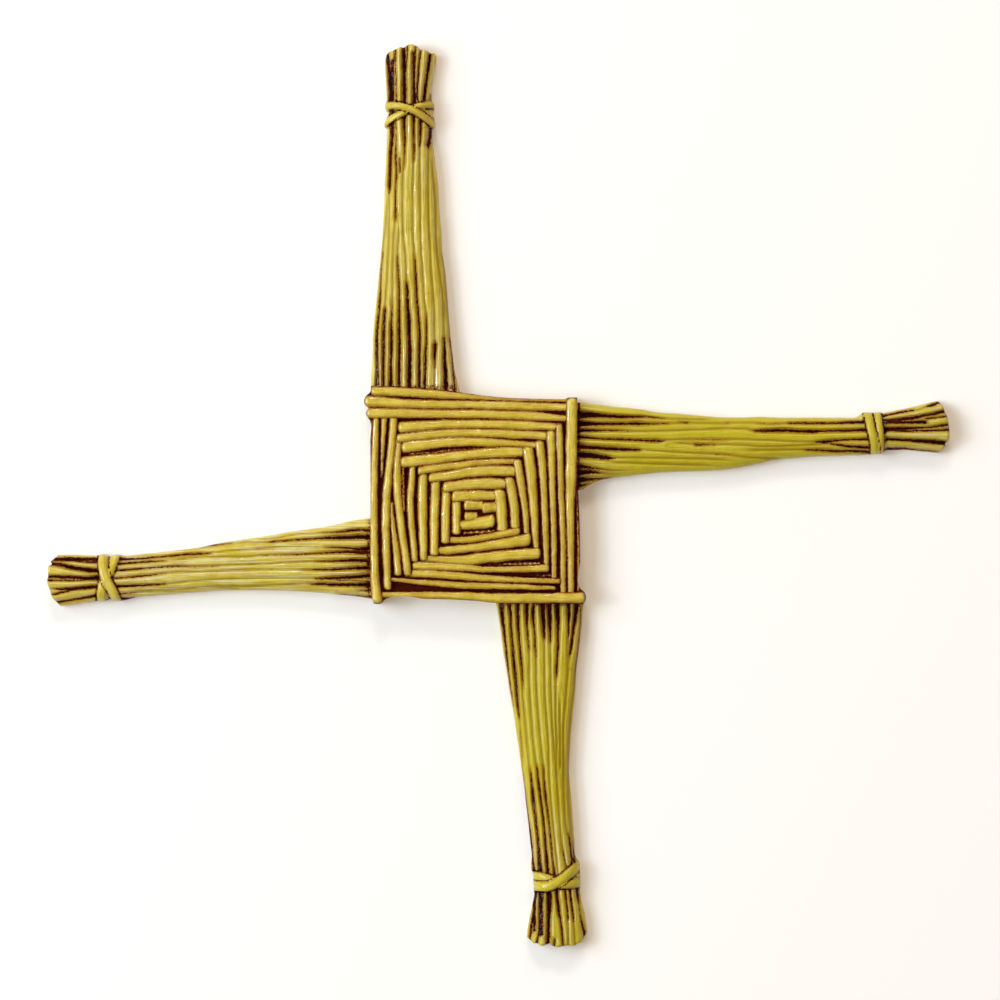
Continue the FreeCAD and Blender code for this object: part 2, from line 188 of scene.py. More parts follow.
# Lights as (name, place, width, height, watts, colour)
LIGHTS = [
    ("window", (-1.5, -1.3, 0.2), 1.4, 1.6, 41.0, (0.690, 0.845, 1.0)),
    ("window_glint", (-1.5, -1.3, 0.12), 0.12, 0.12, 5.0, (1.0, 1.0, 0.98)),
    ("lamp", (0.15, -1.2, 1.7), 1.2, 0.6, 13.0, (1.0, 0.87, 0.74)),
    ("lamp_glint", (-0.16, -1.2, 1.7), 0.14, 0.12, 3.4, (1.0, 0.98, 0.95)),
    ("behind", (0.9, 1.4, 0.9), 1.0, 1.0, 26.0, (1.0, 0.95, 0.88)),
]
CAMERA_DISTANCE = 1.2             # metres from the wall
RELIEF_PLANE = 0.004              # depth of the relief that the photograph's scale is taken at
SENSOR = 36.0                     # width of the camera's sensor in millimetres

# Each table below lists points from the square outwards. Sides are (along, low side, high side);
# the end of the tips is (across, along). A valley is (along, across, width of its open slot): a
# width of 0 is a valley filled with paint, and -1 is where it has run out. A cord's path is (across,
# along). Green is the share of greener and darker paint: a greener tone, with painted shade on the
# bundles that lie farther from the lights. Pale is that of pale streaks, a painted sheen that stands in
# for the lights' reflection, at the root, in the middle, before the tie and past it; and end_wash the
# pixels by which the wash widens towards the tip.
TOP_ARM = dict(
    green=0.15, pale=(1.0, 0.35, 0.35, 0.55), end_wash=-0.1, upright=True, root=388, tie=(129, 102),
    sides=[(392, 371, 460), (388, 370.5, 459), (370, 371, 454.5), (350, 372, 452), (330, 373, 449.8),
        (300, 376, 447.5), (270, 379, 445), (250, 381, 442), (230, 382.5, 441), (200, 384, 438.5),
        (180, 384.5, 437.5), (160, 385.5, 435), (140, 386.5, 432.5), (128, 387, 432)],
    tie_sides=[(127, 385, 434), (124, 384, 435), (118, 386, 434), (113, 388, 433), (108, 385, 434),
        (103, 385, 434)],
    tip_sides=[(101, 386.5, 431.5), (90, 386, 431.5), (80, 385.5, 432.5), (70, 385, 434), (60, 385, 436),
        (50, 386, 436.5), (40, 386, 437)],
    end=[(385, 55), (388, 52), (393, 50), (397, 48.5), (401, 47), (404, 47.5), (406, 46), (411, 44.3),
        (414, 45), (418, 47), (421, 50), (424, 49.5), (428, 51), (431, 53), (434, 52.5), (437, 56)],
    valleys=[
        [(388, 377, 3.6), (370, 377.5, 2.4), (352, 377, 3), (330, 377.3, 2.5), (315, 378.8, 2),
         (300, 379.8, 2), (290, 380.5, 1.2), (270, 381.2, 1.3), (260, 382.2, 0.8), (251, 382.7, 1),
         (248, 382.8, 0), (230, 385, 0), (205, 386.8, 0), (185, 387.3, -1)],
        [(386, 383.5, 3), (370, 383.5, 2.5), (350, 383.7, 3), (335, 384, 2.8), (320, 384.5, 2.4),
         (310, 385.2, 2.2), (306, 385.4, 0.6), (303, 385.6, 0), (280, 387, 0), (240, 389, 0), (196, 389, 0),
         (192, 389.5, 1.4), (185, 389.7, 3), (165, 390.4, 2.8), (150, 391, 3.2), (138, 392.2, 3.5),
         (120, 392.4, 4)],
        [(386, 391, 3.6), (370, 391, 2.8), (350, 391.5, 2.8), (335, 391.7, 3), (325, 391.5, 2.2),
         (315, 392.2, 1.4), (304, 392.5, 0.8), (298, 392.6, 0), (260, 393.3, 0), (240, 394, 0),
         (222, 395.5, 0), (220, 396, 1.7), (213, 396, 1.9), (205, 395.7, 1.1), (190, 395.9, 1.2),
         (170, 396.7, 1.4), (158, 396, 1.8), (145, 396.2, 1), (120, 395.6, 1)],
        [(386, 399.3, 3.2), (370, 399.3, 3.2), (350, 399.6, 3.2), (330, 399.5, 2.6), (310, 399.6, 2),
         (290, 399.6, 1.6), (275, 398.7, 1.4), (262, 397.9, 1.2), (257, 397.8, 0.4), (253, 397.8, 0),
         (235, 399, 0), (215, 399.5, -1)],
        [(386, 409.5, 4), (370, 409.5, 4.4), (350, 410, 4), (335, 409.3, 3.4), (320, 409, 4),
         (305, 407.9, 2.8), (290, 407.5, 2.6), (283, 407, 1.8), (279, 406.8, 0), (256, 405.8, 0),
         (240, 404, 0), (200, 403, 0), (172, 403.8, 0), (163, 404.8, 0.6), (150, 405, 1.2), (140, 405, 2.4),
         (130, 404.7, 3), (112, 404.4, 3.4)],
        [(386, 419.5, 2.6), (370, 419.5, 2.8), (350, 419.8, 2.8), (335, 420, 2.4), (320, 419, 2.2),
         (300, 417.2, 2.2), (280, 416.2, 2), (263, 415.4, 1.6), (257, 415, 0.8), (253, 414.9, 0),
         (235, 413.6, 0), (190, 413.3, 0), (164, 413.9, 0), (161, 414, 1.2), (150, 414.3, 1.7),
         (135, 414, 2), (122, 414, 2.6), (112, 414, 3)],
        [(384, 425, 2.6), (370, 425.5, 2.2), (355, 425.8, 2.4), (345, 426.6, 1.6), (325, 426.7, 1.4),
         (316, 426.7, 0.8), (312, 426.4, 0), (300, 424.7, 0), (270, 423, 0), (250, 421.4, 0),
         (200, 420.4, 0), (150, 420, 0), (146, 420, 1.4), (138, 420.3, 2.4), (120, 421, 2.8)],
        [(388, 435.2, 0), (372, 435, 0), (366, 435, 1.4), (358, 434.8, 2.4), (350, 435, 2.8),
         (345, 435.3, 3.4), (342.5, 435.3, 1.6), (340, 435, 0), (310, 434.5, 0), (270, 431.5, 0),
         (230, 429.4, 0), (195, 428.3, 0), (150, 428.4, 0), (146, 428.3, 3.6), (138, 429.3, 3.6),
         (128, 430, 3.2), (120, 430, 2.6)],
        [(390, 446, 4.4), (375, 445.7, 4), (360, 444.8, 3), (348, 444.5, 2.6), (338, 444.2, 1.8),
         (334, 444.1, 0), (300, 443, 0), (275, 439.8, 0), (240, 436, 0), (200, 435, 0), (170, 432.3, 0),
         (150, 430.5, -1)],
        [(391, 455, 1.9), (370, 453, 1.4), (355, 452, 1.3), (340, 449.8, 0.9), (335, 449.4, 0),
         (300, 446.6, 0), (260, 443, 0), (240, 441, -1)],
        [(176, 400.7, -1), (173, 400.5, 0.9), (166, 400.1, 1.3), (158, 400, 1.1), (155, 400, -1)],
        [(106, 391.5, 6), (92, 391.3, 5.6), (80, 390.3, 4.8), (70, 389.3, 4), (62, 388, 3.8),
         (54, 387.6, 3.4), (48, 387.4, 3.4)],
        [(106, 396.5, 1.4), (90, 396.3, 1.4), (78, 395.9, 1.6), (60, 395.4, 1.8), (46, 395.4, 1.9)],
        [(106, 404.3, 4.2), (95, 404.6, 4.4), (84, 404.5, 4.4), (75, 404.2, 3), (68, 404.5, 4),
         (55, 403.9, 3.6), (44, 403.9, 3.4)],
        [(76, 405.6, -1), (70, 406, 1.2), (60, 406.9, 1.5), (50, 407.4, 1.8), (43, 407.6, 2)],
        [(106, 414.3, 3.8), (97, 414.8, 3.6), (88, 414.8, 2), (80, 414.6, 1.2), (70, 415, 1),
         (58, 415.8, 1.3), (44, 415.8, 1.5)],
        [(106, 419.5, 1.4), (97, 417.2, 2.4), (85, 417.6, 2.2), (75, 418.4, 2), (62, 419.6, 1.6),
         (47, 421.2, 1.3)],
        [(106, 423.5, 3), (100, 424, 3.2), (85, 425.8, 2.9), (72, 427.6, 2.9), (62, 429, 3.1),
         (50, 431, 3.2)],
        [(103, 430.5, -1), (101, 429.3, 1.4), (96, 430.4, 1), (93, 430.8, -1)],
    ],
    cords=[
        dict(path=[(384, 123.5), (393, 117.5), (402, 113.5), (412, 109), (420, 106.3), (435, 104.3)],
            width=7.4, lift=0.0),
        dict(path=[(384, 105.5), (396, 105.8), (405, 107.6), (413, 110.6), (421, 115), (428, 120),
            (435, 125.5)], width=7.6, lift=0.38),
    ],
)

RIGHT_ARM = dict(
    green=0.75, pale=(0.25, 0.05, 0.15, 0.5), end_wash=0.2, upright=False, root=579, tie=(863, 884),
    sides=[(574, 402, 490.5), (583, 402, 489.5), (590, 403, 485), (600, 404.5, 480.5), (610, 406, 478.5),
        (640, 409, 474.5), (655, 411.8, 472.8), (680, 413.5, 471.5), (700, 415.5, 471.2), (720, 417, 470),
        (740, 417.3, 467.3), (760, 416.7, 463.5), (775, 417.3, 460), (800, 417.5, 457.5),
        (840, 417.5, 455.5), (858, 416.6, 455)],
    tie_sides=[(862, 414, 455), (865, 412, 454.8), (872, 412.5, 454), (880, 412, 454), (884, 413, 452)],
    tip_sides=[(886, 412.5, 450.5), (895, 410.5, 450), (905, 408.5, 449.8), (915, 406.2, 450.5),
        (925, 403.8, 451.5), (935, 401.4, 452.5), (945, 399.5, 453.5)],
    end=[(400, 938), (404, 941.5), (409, 944.5), (412, 945), (416, 947), (424, 948.5), (430, 949.3),
        (436, 949.5), (441, 948), (443, 945.5), (446, 945.5), (450, 942), (454, 938)],
    valleys=[
        [(579, 415, 7), (590, 415, 5.8), (600, 415.5, 4.4), (612, 416.3, 3.4), (628, 416.9, 3),
         (640, 416.7, 2.2), (652, 417.2, 1.3), (662, 418.2, 0.8), (668, 418.6, 0), (700, 419.3, 0),
         (725, 420, -1)],
        [(579, 424, 6), (590, 424, 4.4), (600, 424, 3), (630, 423.7, 2.4), (638, 423.5, 3.4),
         (646, 424, 1.9), (668, 423.6, 1), (672, 423.5, 0), (680, 422.8, 0), (682, 422.7, 1.1),
         (688, 423, 1.2), (691, 423, 0), (724, 423.3, 0), (728, 422.9, 1), (733, 422.6, 0), (750, 422.5, 0),
         (770, 424, 0.6), (786, 423.2, 0.2), (790, 423.2, 1.6), (800, 423.2, 2), (840, 423, 2),
         (852, 422.4, 2.6), (868, 422.3, 3)],
        [(579, 431, 3.5), (590, 430.5, 3), (600, 430.5, 2), (620, 430.7, 1.3), (628, 431.2, 0.6),
         (634, 431.5, 0), (690, 430, 0), (720, 428.8, 0), (745, 428.7, 0), (752, 430.2, 0.3),
         (756, 431, 1.8), (768, 430.8, 3), (785, 430.5, 3.4), (800, 431.3, 3), (812, 431.6, 2.9),
         (825, 431.1, 2.3), (840, 430.8, 2.5), (868, 430, 2.9)],
        [(579, 437, 3), (590, 438, 2.2), (600, 438.8, 1.8), (620, 439.5, 2), (640, 440.3, 2),
         (658, 441, 2.6), (663, 440.7, 1.2), (667, 440.2, 0), (700, 439.5, 0.2), (724, 439.7, 0.5),
         (732, 439.4, 0), (770, 440.5, 0), (812, 442, 0), (816, 442, 1.2), (826, 441.8, 3),
         (836, 440.7, 2.2), (845, 439.9, 1.6), (872, 439.2, 2)],
        [(668, 443.4, -1), (680, 443.4, 0), (692, 444.4, 0), (696, 444.8, 1.9), (705, 444.8, 1.6),
         (709, 444.7, 0), (713, 444.7, 1.3), (718, 444.6, 0), (745, 445.4, 0), (765, 446.6, 0),
         (790, 446, 0), (815, 444.6, 0), (827, 443.8, 0.7), (836, 444.6, 1.7), (846, 446.2, 1.9),
         (872, 447.4, 2.4)],
        [(579, 446.5, 4.5), (590, 447.5, 3.4), (610, 448.8, 3.8), (625, 449.5, 2.8), (639, 450, 2),
         (643, 450.1, 0), (680, 452.5, 0), (728, 455, 0.2), (745, 457, 0), (775, 458.3, 0), (790, 459, -1)],
        [(735, 450.5, -1), (755, 450.3, 0), (803, 449.6, 0), (808, 449.9, 1.4), (820, 450, 2.1),
         (835, 451, 2), (855, 451.1, 2), (872, 452, 2.6)],
        [(579, 455, 6), (590, 455.5, 6), (604, 457.5, 4.5), (611, 458, 3), (615, 458, 0.6), (619, 457.8, 0),
         (680, 458.5, 0), (715, 459.4, 0), (745, 461.5, -1)],
        [(605, 462, -1), (615, 462.5, 0), (660, 464, 0), (700, 465, 0), (730, 465.5, -1)],
        [(579, 466, 4), (590, 467.5, 2.6), (600, 469, 1.3), (608, 470, 0.5), (614, 470.4, 0),
         (645, 470, -1)],
        [(579, 472.5, 6), (590, 472, 4), (597, 472.6, 2.4), (603, 473.3, 0.5), (610, 474, 0),
         (635, 474, -1)],
        [(579, 480, 6), (590, 479.3, 3), (600, 478.6, 1.6), (608, 478, 0.6), (615, 477.6, -1)],
        [(579, 486, 3), (586, 484.5, 1.2), (592, 483, -1)],
        [(881, 416.6, 3), (890, 414.6, 1.6), (905, 411.6, 1.8), (914, 410.3, 1.6), (917, 410, 0),
         (925, 407.5, 0), (928, 406.3, 1.2), (933, 405, 2.6), (942, 401.5, 2.2)],
        [(881, 422, 4), (890, 421, 3), (902, 419.4, 3), (915, 417.8, 3.2), (924, 415.8, 2.4),
         (934, 413.8, 2.6), (950, 410, 3)],
        [(922, 419, -1), (928, 418.5, 1.6), (936, 417.6, 1.3), (950, 416, 1)],
        [(881, 429.5, 5), (890, 429.4, 4), (905, 428.6, 3), (915, 428.1, 1.8), (930, 427.2, 1.5),
         (950, 424.6, 2.2)],
        [(895, 431, 1.4), (908, 431, 2), (922, 430.9, 1.5), (940, 430.4, 1.6), (951, 429.6, 2.2)],
        [(881, 439, 4), (890, 439.3, 2.3), (905, 440, 2.4), (920, 441, 3), (935, 442, 4), (950, 443.4, 3)],
        [(881, 449.5, 5), (890, 448.9, 2.2), (905, 448.3, 1.9), (915, 449.5, 1), (935, 451, 0.5),
         (942, 451.5, -1)],
    ],
    cords=[
        dict(path=[(411, 877.2), (425, 878.6), (435, 879.8), (455, 880.2)], width=8.4, lift=0.0),
        dict(path=[(411, 867.8), (420, 869.2), (430, 871), (442, 873.8), (455, 875.6)],
            width=9.0, lift=0.14),
    ],
)

BOTTOM_ARM = dict(
    green=0.7, pale=(0.2, 0.05, 0.6, 0.15), end_wash=0.15, upright=True, root=603, tie=(864, 892),
    sides=[(598, 494.5, 585), (604, 496, 584), (612, 497.5, 583), (630, 500.5, 581.5), (650, 503, 579),
        (670, 506.5, 576.5), (690, 509.5, 575.5), (710, 513, 573.5), (730, 516, 571.5), (750, 519, 570),
        (770, 521.7, 569), (785, 524, 570), (800, 525.5, 571.5), (820, 528, 573), (840, 530, 574.5),
        (860, 532, 577)],
    tie_sides=[(862, 531.5, 579), (868, 531, 580), (875, 533, 580.5), (884, 533.5, 580.5), (892, 534, 580)],
    tip_sides=[(895, 534.5, 580.5), (903, 533, 582), (910, 531.5, 584), (920, 529.3, 586),
        (930, 527.6, 587.3), (948, 526.5, 588.5)],
    end=[(526, 937), (530, 940.5), (534, 943.5), (537, 943.5), (541, 945.7), (546, 945), (549, 943.5),
        (553, 946), (557, 947), (563, 946), (568, 945.3), (573, 946), (578, 943.5), (582, 941.5),
        (585, 936.5), (588, 932)],
    valleys=[
        [(605, 502, 4.4), (620, 503, 3.4), (632, 504.2, 2.7), (645, 505.8, 2.1), (660, 507.2, 2),
         (675, 509, 1.4), (690, 511, 1), (700, 512.6, 0.6), (708, 514, -1)],
        [(605, 510, 3), (615, 510.8, 2.4), (630, 511.5, 2.4), (650, 513.2, 2.4), (668, 514.8, 2.8),
         (685, 516.5, 2.5), (700, 517.5, 2.2), (712, 518.7, 1.7), (718, 519.4, 0.7), (722, 519.7, 0),
         (738, 521, 0.2), (752, 522, 0.3), (762, 522.2, 0), (772, 522.5, 0), (777, 523.1, 1),
         (795, 525.2, 1.4), (815, 527.7, 1.5), (828, 529.6, 1.8), (834, 530.4, 2.3), (850, 532, 2),
         (862, 533, 2.4), (872, 534.5, 3)],
        [(605, 518, 3.5), (625, 518.3, 2.8), (640, 519.5, 2.2), (660, 521.3, 2), (675, 522.5, 1.7),
         (686, 523, 0.8), (692, 523, 0), (710, 524.5, 0), (730, 526.3, 0), (750, 528, 0), (766, 529.6, 0),
         (770, 530.4, 0.9), (780, 531.7, 1.8), (790, 532.8, 2.3), (800, 533.5, 2.8), (815, 535.4, 2.3),
         (835, 537.7, 2.1), (850, 539, 2.3), (862, 539.8, 3), (876, 541.2, 4)],
        [(605, 527, 3), (613, 527, 3.5), (622, 527, 2.4), (632, 527.6, 1.7), (647, 529, 1.2),
         (653, 529.4, 0), (680, 529.5, 0), (700, 530.5, 0), (720, 532, 0), (740, 533.5, 0), (764, 536.6, 0),
         (769, 537.5, 1.5), (785, 539, 2), (795, 540.5, 2.2), (815, 543, 1.8), (830, 544.6, 1.9),
         (850, 546.2, 2.3), (865, 547.5, 2.8), (878, 548.7, 3)],
        [(605, 534.5, 2), (612, 533, 3.5), (620, 533.5, 2.8), (630, 534.8, 1.5), (648, 535.5, 1.6),
         (655, 536.2, 0.8), (659, 536.3, 0), (680, 536.5, 0), (700, 537.5, 0), (720, 539, 0),
         (740, 540.7, 0), (763, 543.2, 0), (768, 543.6, 1.1), (783, 544.5, 1.4), (797, 546, 2.2),
         (808, 547.4, 1.6), (825, 549.6, 1.2), (845, 551.5, 1.4), (860, 552.8, 0.9), (868, 554, 1.7),
         (880, 555, 2.5)],
        [(605, 543, 5), (615, 543.2, 4.6), (630, 544, 3.2), (638, 544.5, 2), (642, 544.6, 0),
         (700, 545.5, 0), (740, 548.5, 0), (780, 549.7, 0), (820, 553, 0), (860, 557, 0), (878, 558.5, 0)],
        [(605, 549.5, 5), (620, 549.8, 4.4), (632, 550, 2.8), (640, 550.4, 1.8), (645, 550.5, 0),
         (700, 551.5, 0), (730, 553, 0), (770, 556.3, 0), (800, 558.5, 0), (840, 561.5, 0),
         (852, 563.3, 0.4), (872, 567.5, 0.7)],
        [(605, 557.5, 5), (614, 557.6, 5), (625, 558.2, 3.2), (640, 558.2, 2.2), (658, 557.6, 1.6),
         (667, 556.9, 2.1), (673, 556.7, 2), (678, 556.5, 0.7), (682, 556.3, 0), (715, 556, 0),
         (740, 557, 0), (765, 556.5, 0), (776, 556, -1)],
        [(690, 560, -1), (705, 560, 0), (740, 560.3, 0), (765, 560.3, 0), (776, 559.6, -1)],
        [(605, 569, 3), (612, 569, 3.5), (622, 568.8, 2.2), (637, 568.5, 1.1), (642, 568, 0.3),
         (648, 567.6, 0), (670, 568, 0), (690, 566.5, 0), (710, 565, 0), (730, 563.5, 0), (770, 563.5, 0),
         (810, 564.5, 0), (832, 567, 0), (836, 568.6, 1.3), (845, 570, 1.6), (858, 571.5, 1.9),
         (870, 573, 2.6)],
        [(605, 576.5, 5), (614, 575.8, 4), (630, 573.5, 2.9), (645, 571.5, 2.5), (655, 570.1, 1.9),
         (658, 569.8, 0), (668, 568.8, -1)],
        [(605, 580.5, 1), (625, 580.2, 0.7), (650, 578, 1), (670, 575.5, 0.6), (690, 573.6, 0),
         (710, 571, 0), (750, 568.4, 0), (800, 568.5, 0), (840, 572, 0), (850, 573.5, 1), (870, 574.6, 2.4)],
        [(888, 536.2, 5), (897, 535.5, 3.2), (906, 534.6, 2.2), (925, 531.8, 2.2), (946, 529, 1.9)],
        [(888, 540.8, 5), (897, 541.4, 4.4), (906, 541, 2.8), (925, 539.7, 1.5), (934, 538.6, 0.9),
         (948, 536.3, 2)],
        [(886, 548.8, 3), (896, 549.5, 4.6), (904, 549.5, 5), (912, 549.3, 3.8), (918, 548.7, 1.6),
         (921, 548.5, 0.8), (925, 548, 2), (934, 547.8, 2.8), (949, 548.2, 4)],
        [(936, 554.9, -1), (940, 554.7, 1.3), (949, 554.3, 1.8)],
        [(884, 557, 2), (893, 557, 2.6), (903, 558.2, 3), (912, 559, 2.6), (920, 560.7, 1.6),
         (949, 563.6, 1.6)],
        [(884, 564.6, 2), (897, 566, 1.8), (912, 567.7, 1.3), (919, 568, 0.9), (923, 568.2, 0),
         (949, 569, 0)],
        [(884, 569.4, 1.5), (900, 571, 1.8), (912, 572.8, 1.8), (920, 573.6, 1.1), (924, 574, 0),
         (949, 575.6, 0)],
        [(884, 576, 3), (896, 577.6, 2.5), (902, 578.4, 1.8), (907, 579.2, 0.2), (914, 580, 0.6),
         (924, 582, 1.6), (938, 585.4, 2.4)],
    ],
    cords=[
        dict(path=[(530, 876), (540, 876.8), (549, 879), (556, 882), (563, 884), (572, 883.6), (583, 883)],
            width=9.6, lift=0.0),
        dict(path=[(530, 886.2), (541, 886.4), (549, 885.6), (556, 882.4), (563, 878), (570, 872.6),
            (577, 867.4), (583, 863.5)], width=10.6, lift=0.34),
    ],
)

LEFT_ARM = dict(
    green=0.1, pale=(0.55, 0.9, 1.0, 0.5), end_wash=0.35, upright=False, root=370, tie=(121, 96),
    sides=[(375, 517.5, 600), (370, 518.5, 599), (360, 519.7, 597.3), (350, 521, 596), (340, 523.5, 595),
        (330, 525.8, 594), (310, 529, 592.2), (290, 531.7, 591), (270, 535.4, 590.5), (240, 540, 590.4),
        (220, 543, 590.8), (200, 547.3, 592), (180, 550, 593.6), (150, 553.3, 596), (135, 554.8, 597.7),
        (124, 556.2, 600.3)],
    tie_sides=[(121, 555.5, 601), (115, 554.8, 601), (109, 556.5, 599.5), (103, 554, 601.7),
        (97, 555.5, 601)],
    tip_sides=[(95, 556, 601.5), (85, 555.4, 602.8), (75, 555.1, 604.3), (65, 555, 605.8), (55, 555, 607.2),
        (42, 555, 609)],
    end=[(554, 57), (556, 56.5), (559, 53), (562, 50.5), (564, 51.5), (566, 48.8), (571, 48), (576, 48.2),
        (580, 47.3), (585, 48), (589, 49.5), (594, 51), (598, 52.3), (602, 56), (605, 58.5), (608, 61)],
    valleys=[
        [(370, 531, 3), (360, 530, 2.5), (350, 530.7, 2.4), (343, 531.8, 2.2), (336, 532.3, 1.3),
         (326, 532.5, 0.6), (320, 532.8, 0), (300, 534, 0), (270, 538.4, 0), (245, 541, -1)],
        [(370, 537, 4), (360, 537, 5), (352, 537.5, 3.6), (336, 537.8, 3.3), (326, 538.1, 2.4),
         (315, 538.7, 1.6), (300, 539.8, 1.5), (284, 541, 1.3), (280, 541.1, 0.2), (277, 541.5, 1.5),
         (272, 542, 1.3), (268, 542.5, 0), (235, 543, 0), (227, 543.6, 0.6), (218, 544.6, 1.3),
         (210, 545.6, 1.2), (203, 546.5, 0.7), (198, 547.2, -1)],
        [(370, 548.5, 5), (360, 549.3, 3.6), (350, 548.2, 1.8), (336, 547.5, 1.4), (327, 547.3, 0.8),
         (322, 547, 0), (290, 547, 0), (266, 548.3, 0.2), (240, 550, 0), (215, 552.5, 0), (210, 553.4, 1.2),
         (200, 553.8, 2.1), (185, 554.5, 2.1), (172, 555.8, 1.9), (150, 557.8, 1.6), (133, 559, 1.8),
         (112, 559.6, 3)],
        [(370, 552.8, 4), (358, 552.3, 3.8), (345, 552, 2.6), (330, 552.8, 1.8), (318, 553.4, 1.2),
         (300, 554.6, 1.2), (290, 555, 0.7), (272, 555.2, 0.2), (250, 556.5, 0), (215, 557, 0),
         (190, 558, 0), (168, 560.7, 0), (160, 561.3, 1), (149, 561.7, 1.8), (140, 562.3, 1.3),
         (112, 564.6, 1.5)],
        [(370, 561, 4), (355, 560.5, 3.5), (345, 560.8, 2.6), (330, 561.2, 1.6), (318, 561.5, 1.1),
         (314, 561.4, 0), (300, 562, 0), (260, 564, 0), (230, 565.5, 0), (192, 566.6, 0.4), (184, 566, 1),
         (175, 566.2, 1.4), (160, 567.3, 1.2), (140, 568.8, 1.3), (125, 570, 1.2), (110, 570.7, 1.6)],
        [(370, 568, 4), (355, 568.3, 3), (345, 569, 2.5), (325, 569.8, 1.8), (308, 569.8, 0.7),
         (300, 570, 0), (270, 569.5, 0), (210, 571.5, 0), (168, 573.1, 0), (160, 574, 0.5),
         (150, 575.3, 1.2), (138, 576.5, 1.4), (126, 577.6, 0.6), (110, 578.6, 1)],
        [(370, 575.5, 4), (355, 577, 3.5), (335, 578, 2.8), (322, 578.6, 2), (316, 578.5, 1),
         (312, 578.2, 0), (280, 577.5, 0), (230, 579, 0), (190, 581, 0), (170, 583.6, 0), (164, 584.2, 0.9),
         (155, 584.7, 1.5), (135, 585.8, 1.7), (110, 586.5, 2)],
        [(370, 585, 6), (358, 584.8, 3.4), (345, 584.8, 2.8), (335, 584.8, 3), (322, 584, 2.4),
         (312, 584, 1.1), (308, 583.6, 0), (285, 584.5, 0), (250, 586, 0), (210, 586.5, 0), (170, 589.5, 0),
         (150, 590.5, 0), (128, 593.2, 0.2), (112, 594.3, 0.6)],
        [(370, 580.5, -1), (357, 580.8, 0.8), (346, 580.7, 1), (338, 580.6, 1.1), (334, 580.6, -1)],
        [(370, 590.5, 2.4), (364, 590.6, 1), (356, 591, -1)],
        [(250, 588.5, -1), (225, 588.2, 0), (205, 589, -1)],
        [(372, 597, 2), (360, 596.2, 1), (345, 594.8, 0.6), (335, 594, -1)],
        [(134, 597.6, 0.8), (128, 598.8, 2.2), (122, 599, 2.2), (112, 599, 1)],
        [(99, 559.3, 3), (90, 559.1, 1.8), (78, 558.6, 1.4), (67, 557.6, 1), (63, 557, 0), (52, 556.4, 0)],
        [(99, 562, 2.4), (90, 562.3, 1.2), (80, 561.5, 0.9), (68, 560.3, 0.6), (64, 560, -1)],
        [(99, 570.8, 3), (90, 570.2, 3.6), (80, 569, 3.2), (70, 567.3, 3.4), (60, 565, 3.2),
         (47, 563.5, 2.4)],
        [(99, 578, 4.6), (88, 578.3, 2.8), (75, 577.6, 2.6), (60, 577, 2.4), (45, 576.6, 2.2)],
        [(90, 579.8, -1), (82, 580.3, 0.9), (62, 580.4, 1.1), (56, 580.4, 0.3), (52, 580.3, 1.4),
         (45, 580.3, 1.6)],
        [(99, 586.6, 2.6), (88, 587.5, 3), (75, 588.6, 2.4), (62, 589.1, 1.6), (56, 589.2, 0.8),
         (52, 589.2, 0), (45, 589.2, 0)],
        [(78, 589.8, -1), (70, 590.6, 1.4), (64, 592, 1.4), (55, 594.2, 0.9), (45, 596, 0.4)],
        [(99, 595.2, 3), (92, 596.4, 1.8), (80, 598.5, 1.2), (66, 600.8, 1.4), (50, 603.6, 1.9)],
    ],
    cords=[
        dict(path=[(552, 115.5), (562, 113), (571, 110), (578, 106.5), (584, 103.8), (592, 102), (604, 101)],
            width=10.4, lift=0.0),
        dict(path=[(552, 102.8), (562, 103.2), (571, 104.2), (578, 106.2), (584, 109), (592, 113),
            (604, 117)], width=10.6, lift=0.3),
    ],
)

ARMS = [TOP_ARM, RIGHT_ARM, BOTTOM_ARM, LEFT_ARM]

